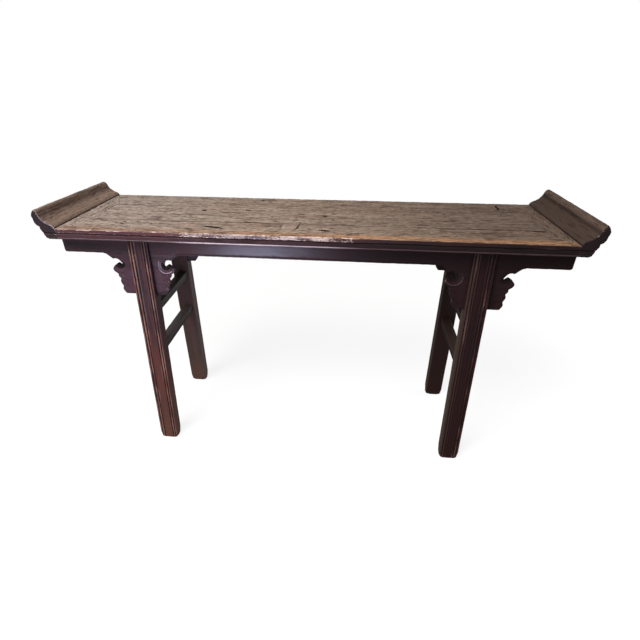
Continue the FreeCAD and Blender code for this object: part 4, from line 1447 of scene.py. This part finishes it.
def square_pegs_tree():
    """Square tapered pegs that stand on points, each turned a little out of line by chance."""
    tree, given, result = new_group(
        "square_pegs", "GeometryNodeTree",
        {"Places": "Geometry", "Side": 0.005, "Length": 0.026, "Taper": 0.8, "Turn": 0.07,
         "Seed": 0, "Finish": "Material"}, {"Pegs": "Geometry"})
    radius = product(tree, given["Side"], math.sqrt(0.5))
    peg = node(tree, "GeometryNodeMeshCone",
               {"Vertices": 4, "Radius Bottom": radius, "Depth": given["Length"],
                "Radius Top": product(tree, radius, given["Taper"])})["Mesh"]
    chance = tree.nodes.new("FunctionNodeRandomValue")
    chance.data_type = "FLOAT"
    ends = [socket for socket in chance.inputs if socket.type == "VALUE" and socket.enabled]
    for socket, operation in zip(ends, ("SUBTRACT", "ADD")):
        feed(tree, socket, reckon(tree, operation, math.pi / 4, given["Turn"]))
    feed(tree, chance.inputs["Seed"], given["Seed"])
    angle = next(socket for socket in chance.outputs if socket.enabled)
    turned = node(tree, "ShaderNodeCombineXYZ", {"Z": angle})["Vector"]
    stood = node(tree, "GeometryNodeInstanceOnPoints",
                 {"Points": given["Places"], "Instance": peg, "Rotation": turned})["Instances"]
    feed(tree, result["Pegs"], coated(tree, stood, given["Finish"]))
    return tree


square_pegs = square_pegs_tree()
peg_elm = old_elm("peg_elm", along_z, 71.0, paint(168, 138, 108), paint(132, 102, 76),
                  paint(78, 56, 42), front=0.0, dim=0.2)
for name, pegged, rows in (("corner_locks", "frame_corner_pegs", 2), ("flange_locks", "flange_pegs", 3)):
    low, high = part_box(pegged)
    stands = bpy.data.meshes.new(name)
    stands.from_pydata([(x, y, low.z - peg_proud)
                        for x in (low.x + peg_side / 2, high.x - peg_side / 2)
                        for y in np.linspace(low.y + peg_side / 2, high.y - peg_side / 2, rows)],
                       [], [])
    pegs = bpy.data.objects.new(name, stands)
    bpy.context.scene.collection.objects.link(pegs)
    run_tree(pegs, square_pegs, side=peg_side, length=high.z - low.z, taper=peg_taper,
             turn=peg_turn, seed=rows, finish=peg_elm)
    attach(pegs, "root")
    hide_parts(pegged)

# Studio: a white floor that keeps a soft shadow, one large soft lamp high on the left, a low
# cool panel before the left half that the apron mirrors, a weak lamp below the top's level at
# the right that keeps the shaded end readable, and an even dim room.
floor_half = 14.0
floor_clear = (1.0, 2.6)
key_place = Vector((-1.5, -1.9, 3.4))
key_aim = Vector((0.0, 0.0, 0.7))
key_size = (2.2, 2.2)
key_tint = (1.0, 0.98, 0.95)
key_power = 190.0
sheen_place = Vector((-0.34, -1.2, 0.36))
sheen_aim = Vector((-0.1, -0.157, 0.8))
sheen_size = (0.5, 0.5)
sheen_power = 6.6
sheen_tint = (0.72, 0.73, 1.0)
fill_place = Vector((2.4, 0.7, 0.36))
fill_aim = Vector((0.0, 0.0, 0.36))
fill_size = (1.6, 0.8)
fill_power = 26.0
fill_tint = (0.96, 0.98, 1.0)
room_level = 0.2
floor_glow = 0.83
floor_grey = (0.23, 0.23, 0.23, 1.0)
black = (0.0, 0.0, 0.0, 1.0)
white = (1.0, 1.0, 1.0, 1.0)

floor_mesh = bpy.data.meshes.new("studio_floor")
floor_mesh.from_pydata([(-floor_half, -floor_half, 0), (floor_half, -floor_half, 0),
                        (floor_half, floor_half, 0), (-floor_half, floor_half, 0)], [],
                       [(0, 1, 2, 3)])
studio_floor = bpy.data.objects.new("studio_floor", floor_mesh)
bpy.context.scene.collection.objects.link(studio_floor)
floor_finish = bpy.data.materials.new("studio_floor")
floor_finish.use_nodes = True
floor_tree = floor_finish.node_tree
floor_shader = floor_tree.nodes["Principled BSDF"]
seen = node(floor_tree, "ShaderNodeLightPath", {})["Is Camera Ray"]
spot = node(floor_tree, "ShaderNodeTexCoord", {})["Object"]
length = node(floor_tree, "ShaderNodeVectorMath", {0: spot}, operation="LENGTH")["Value"]
clear = fade(floor_tree, length, *floor_clear)
glow = product(floor_tree, seen, raise_by(floor_tree, clear, 1 - floor_glow, floor_glow))
colour = layered(floor_tree, floor_grey, (product(floor_tree, seen, clear), black))
for name, value in (("Base Color", colour), ("Emission Color", white), ("Emission Strength", glow),
                    ("Roughness", 1.0), ("Specular IOR Level", 0.0)):
    feed(floor_tree, floor_shader.inputs[name], value)
floor_mesh.materials.append(floor_finish)


def lamp(name, place, aim, size, power, tint):
    """Soft rectangular lamp that the camera doesn't see."""
    data = bpy.data.lights.new(name, "AREA")
    data.shape = "RECTANGLE"
    data.size, data.size_y = size
    data.energy = power
    data.color = tint
    made = bpy.data.objects.new(name, data)
    made.matrix_world = (Matrix.Translation(place)
                         @ (place - aim).to_track_quat("Z", "Y").to_matrix().to_4x4())
    made.visible_camera = False
    bpy.context.scene.collection.objects.link(made)


lamp("key_lamp", key_place, key_aim, key_size, key_power, key_tint)
lamp("sheen_panel", sheen_place, sheen_aim, sheen_size, sheen_power, sheen_tint)
lamp("fill_lamp", fill_place, fill_aim, fill_size, fill_power, fill_tint)

room = bpy.data.worlds.new("studio_room")
room.use_nodes = True
room_tree = room.node_tree
room_light = room_tree.nodes["Background"]
seen = node(room_tree, "ShaderNodeLightPath", {})["Is Camera Ray"]
feed(room_tree, room_light.inputs["Strength"], raise_by(room_tree, seen, 1 - room_level, room_level))
feed(room_tree, room_light.inputs["Color"], white)
bpy.context.scene.world = room
bpy.context.scene.view_settings.view_transform = "Standard"
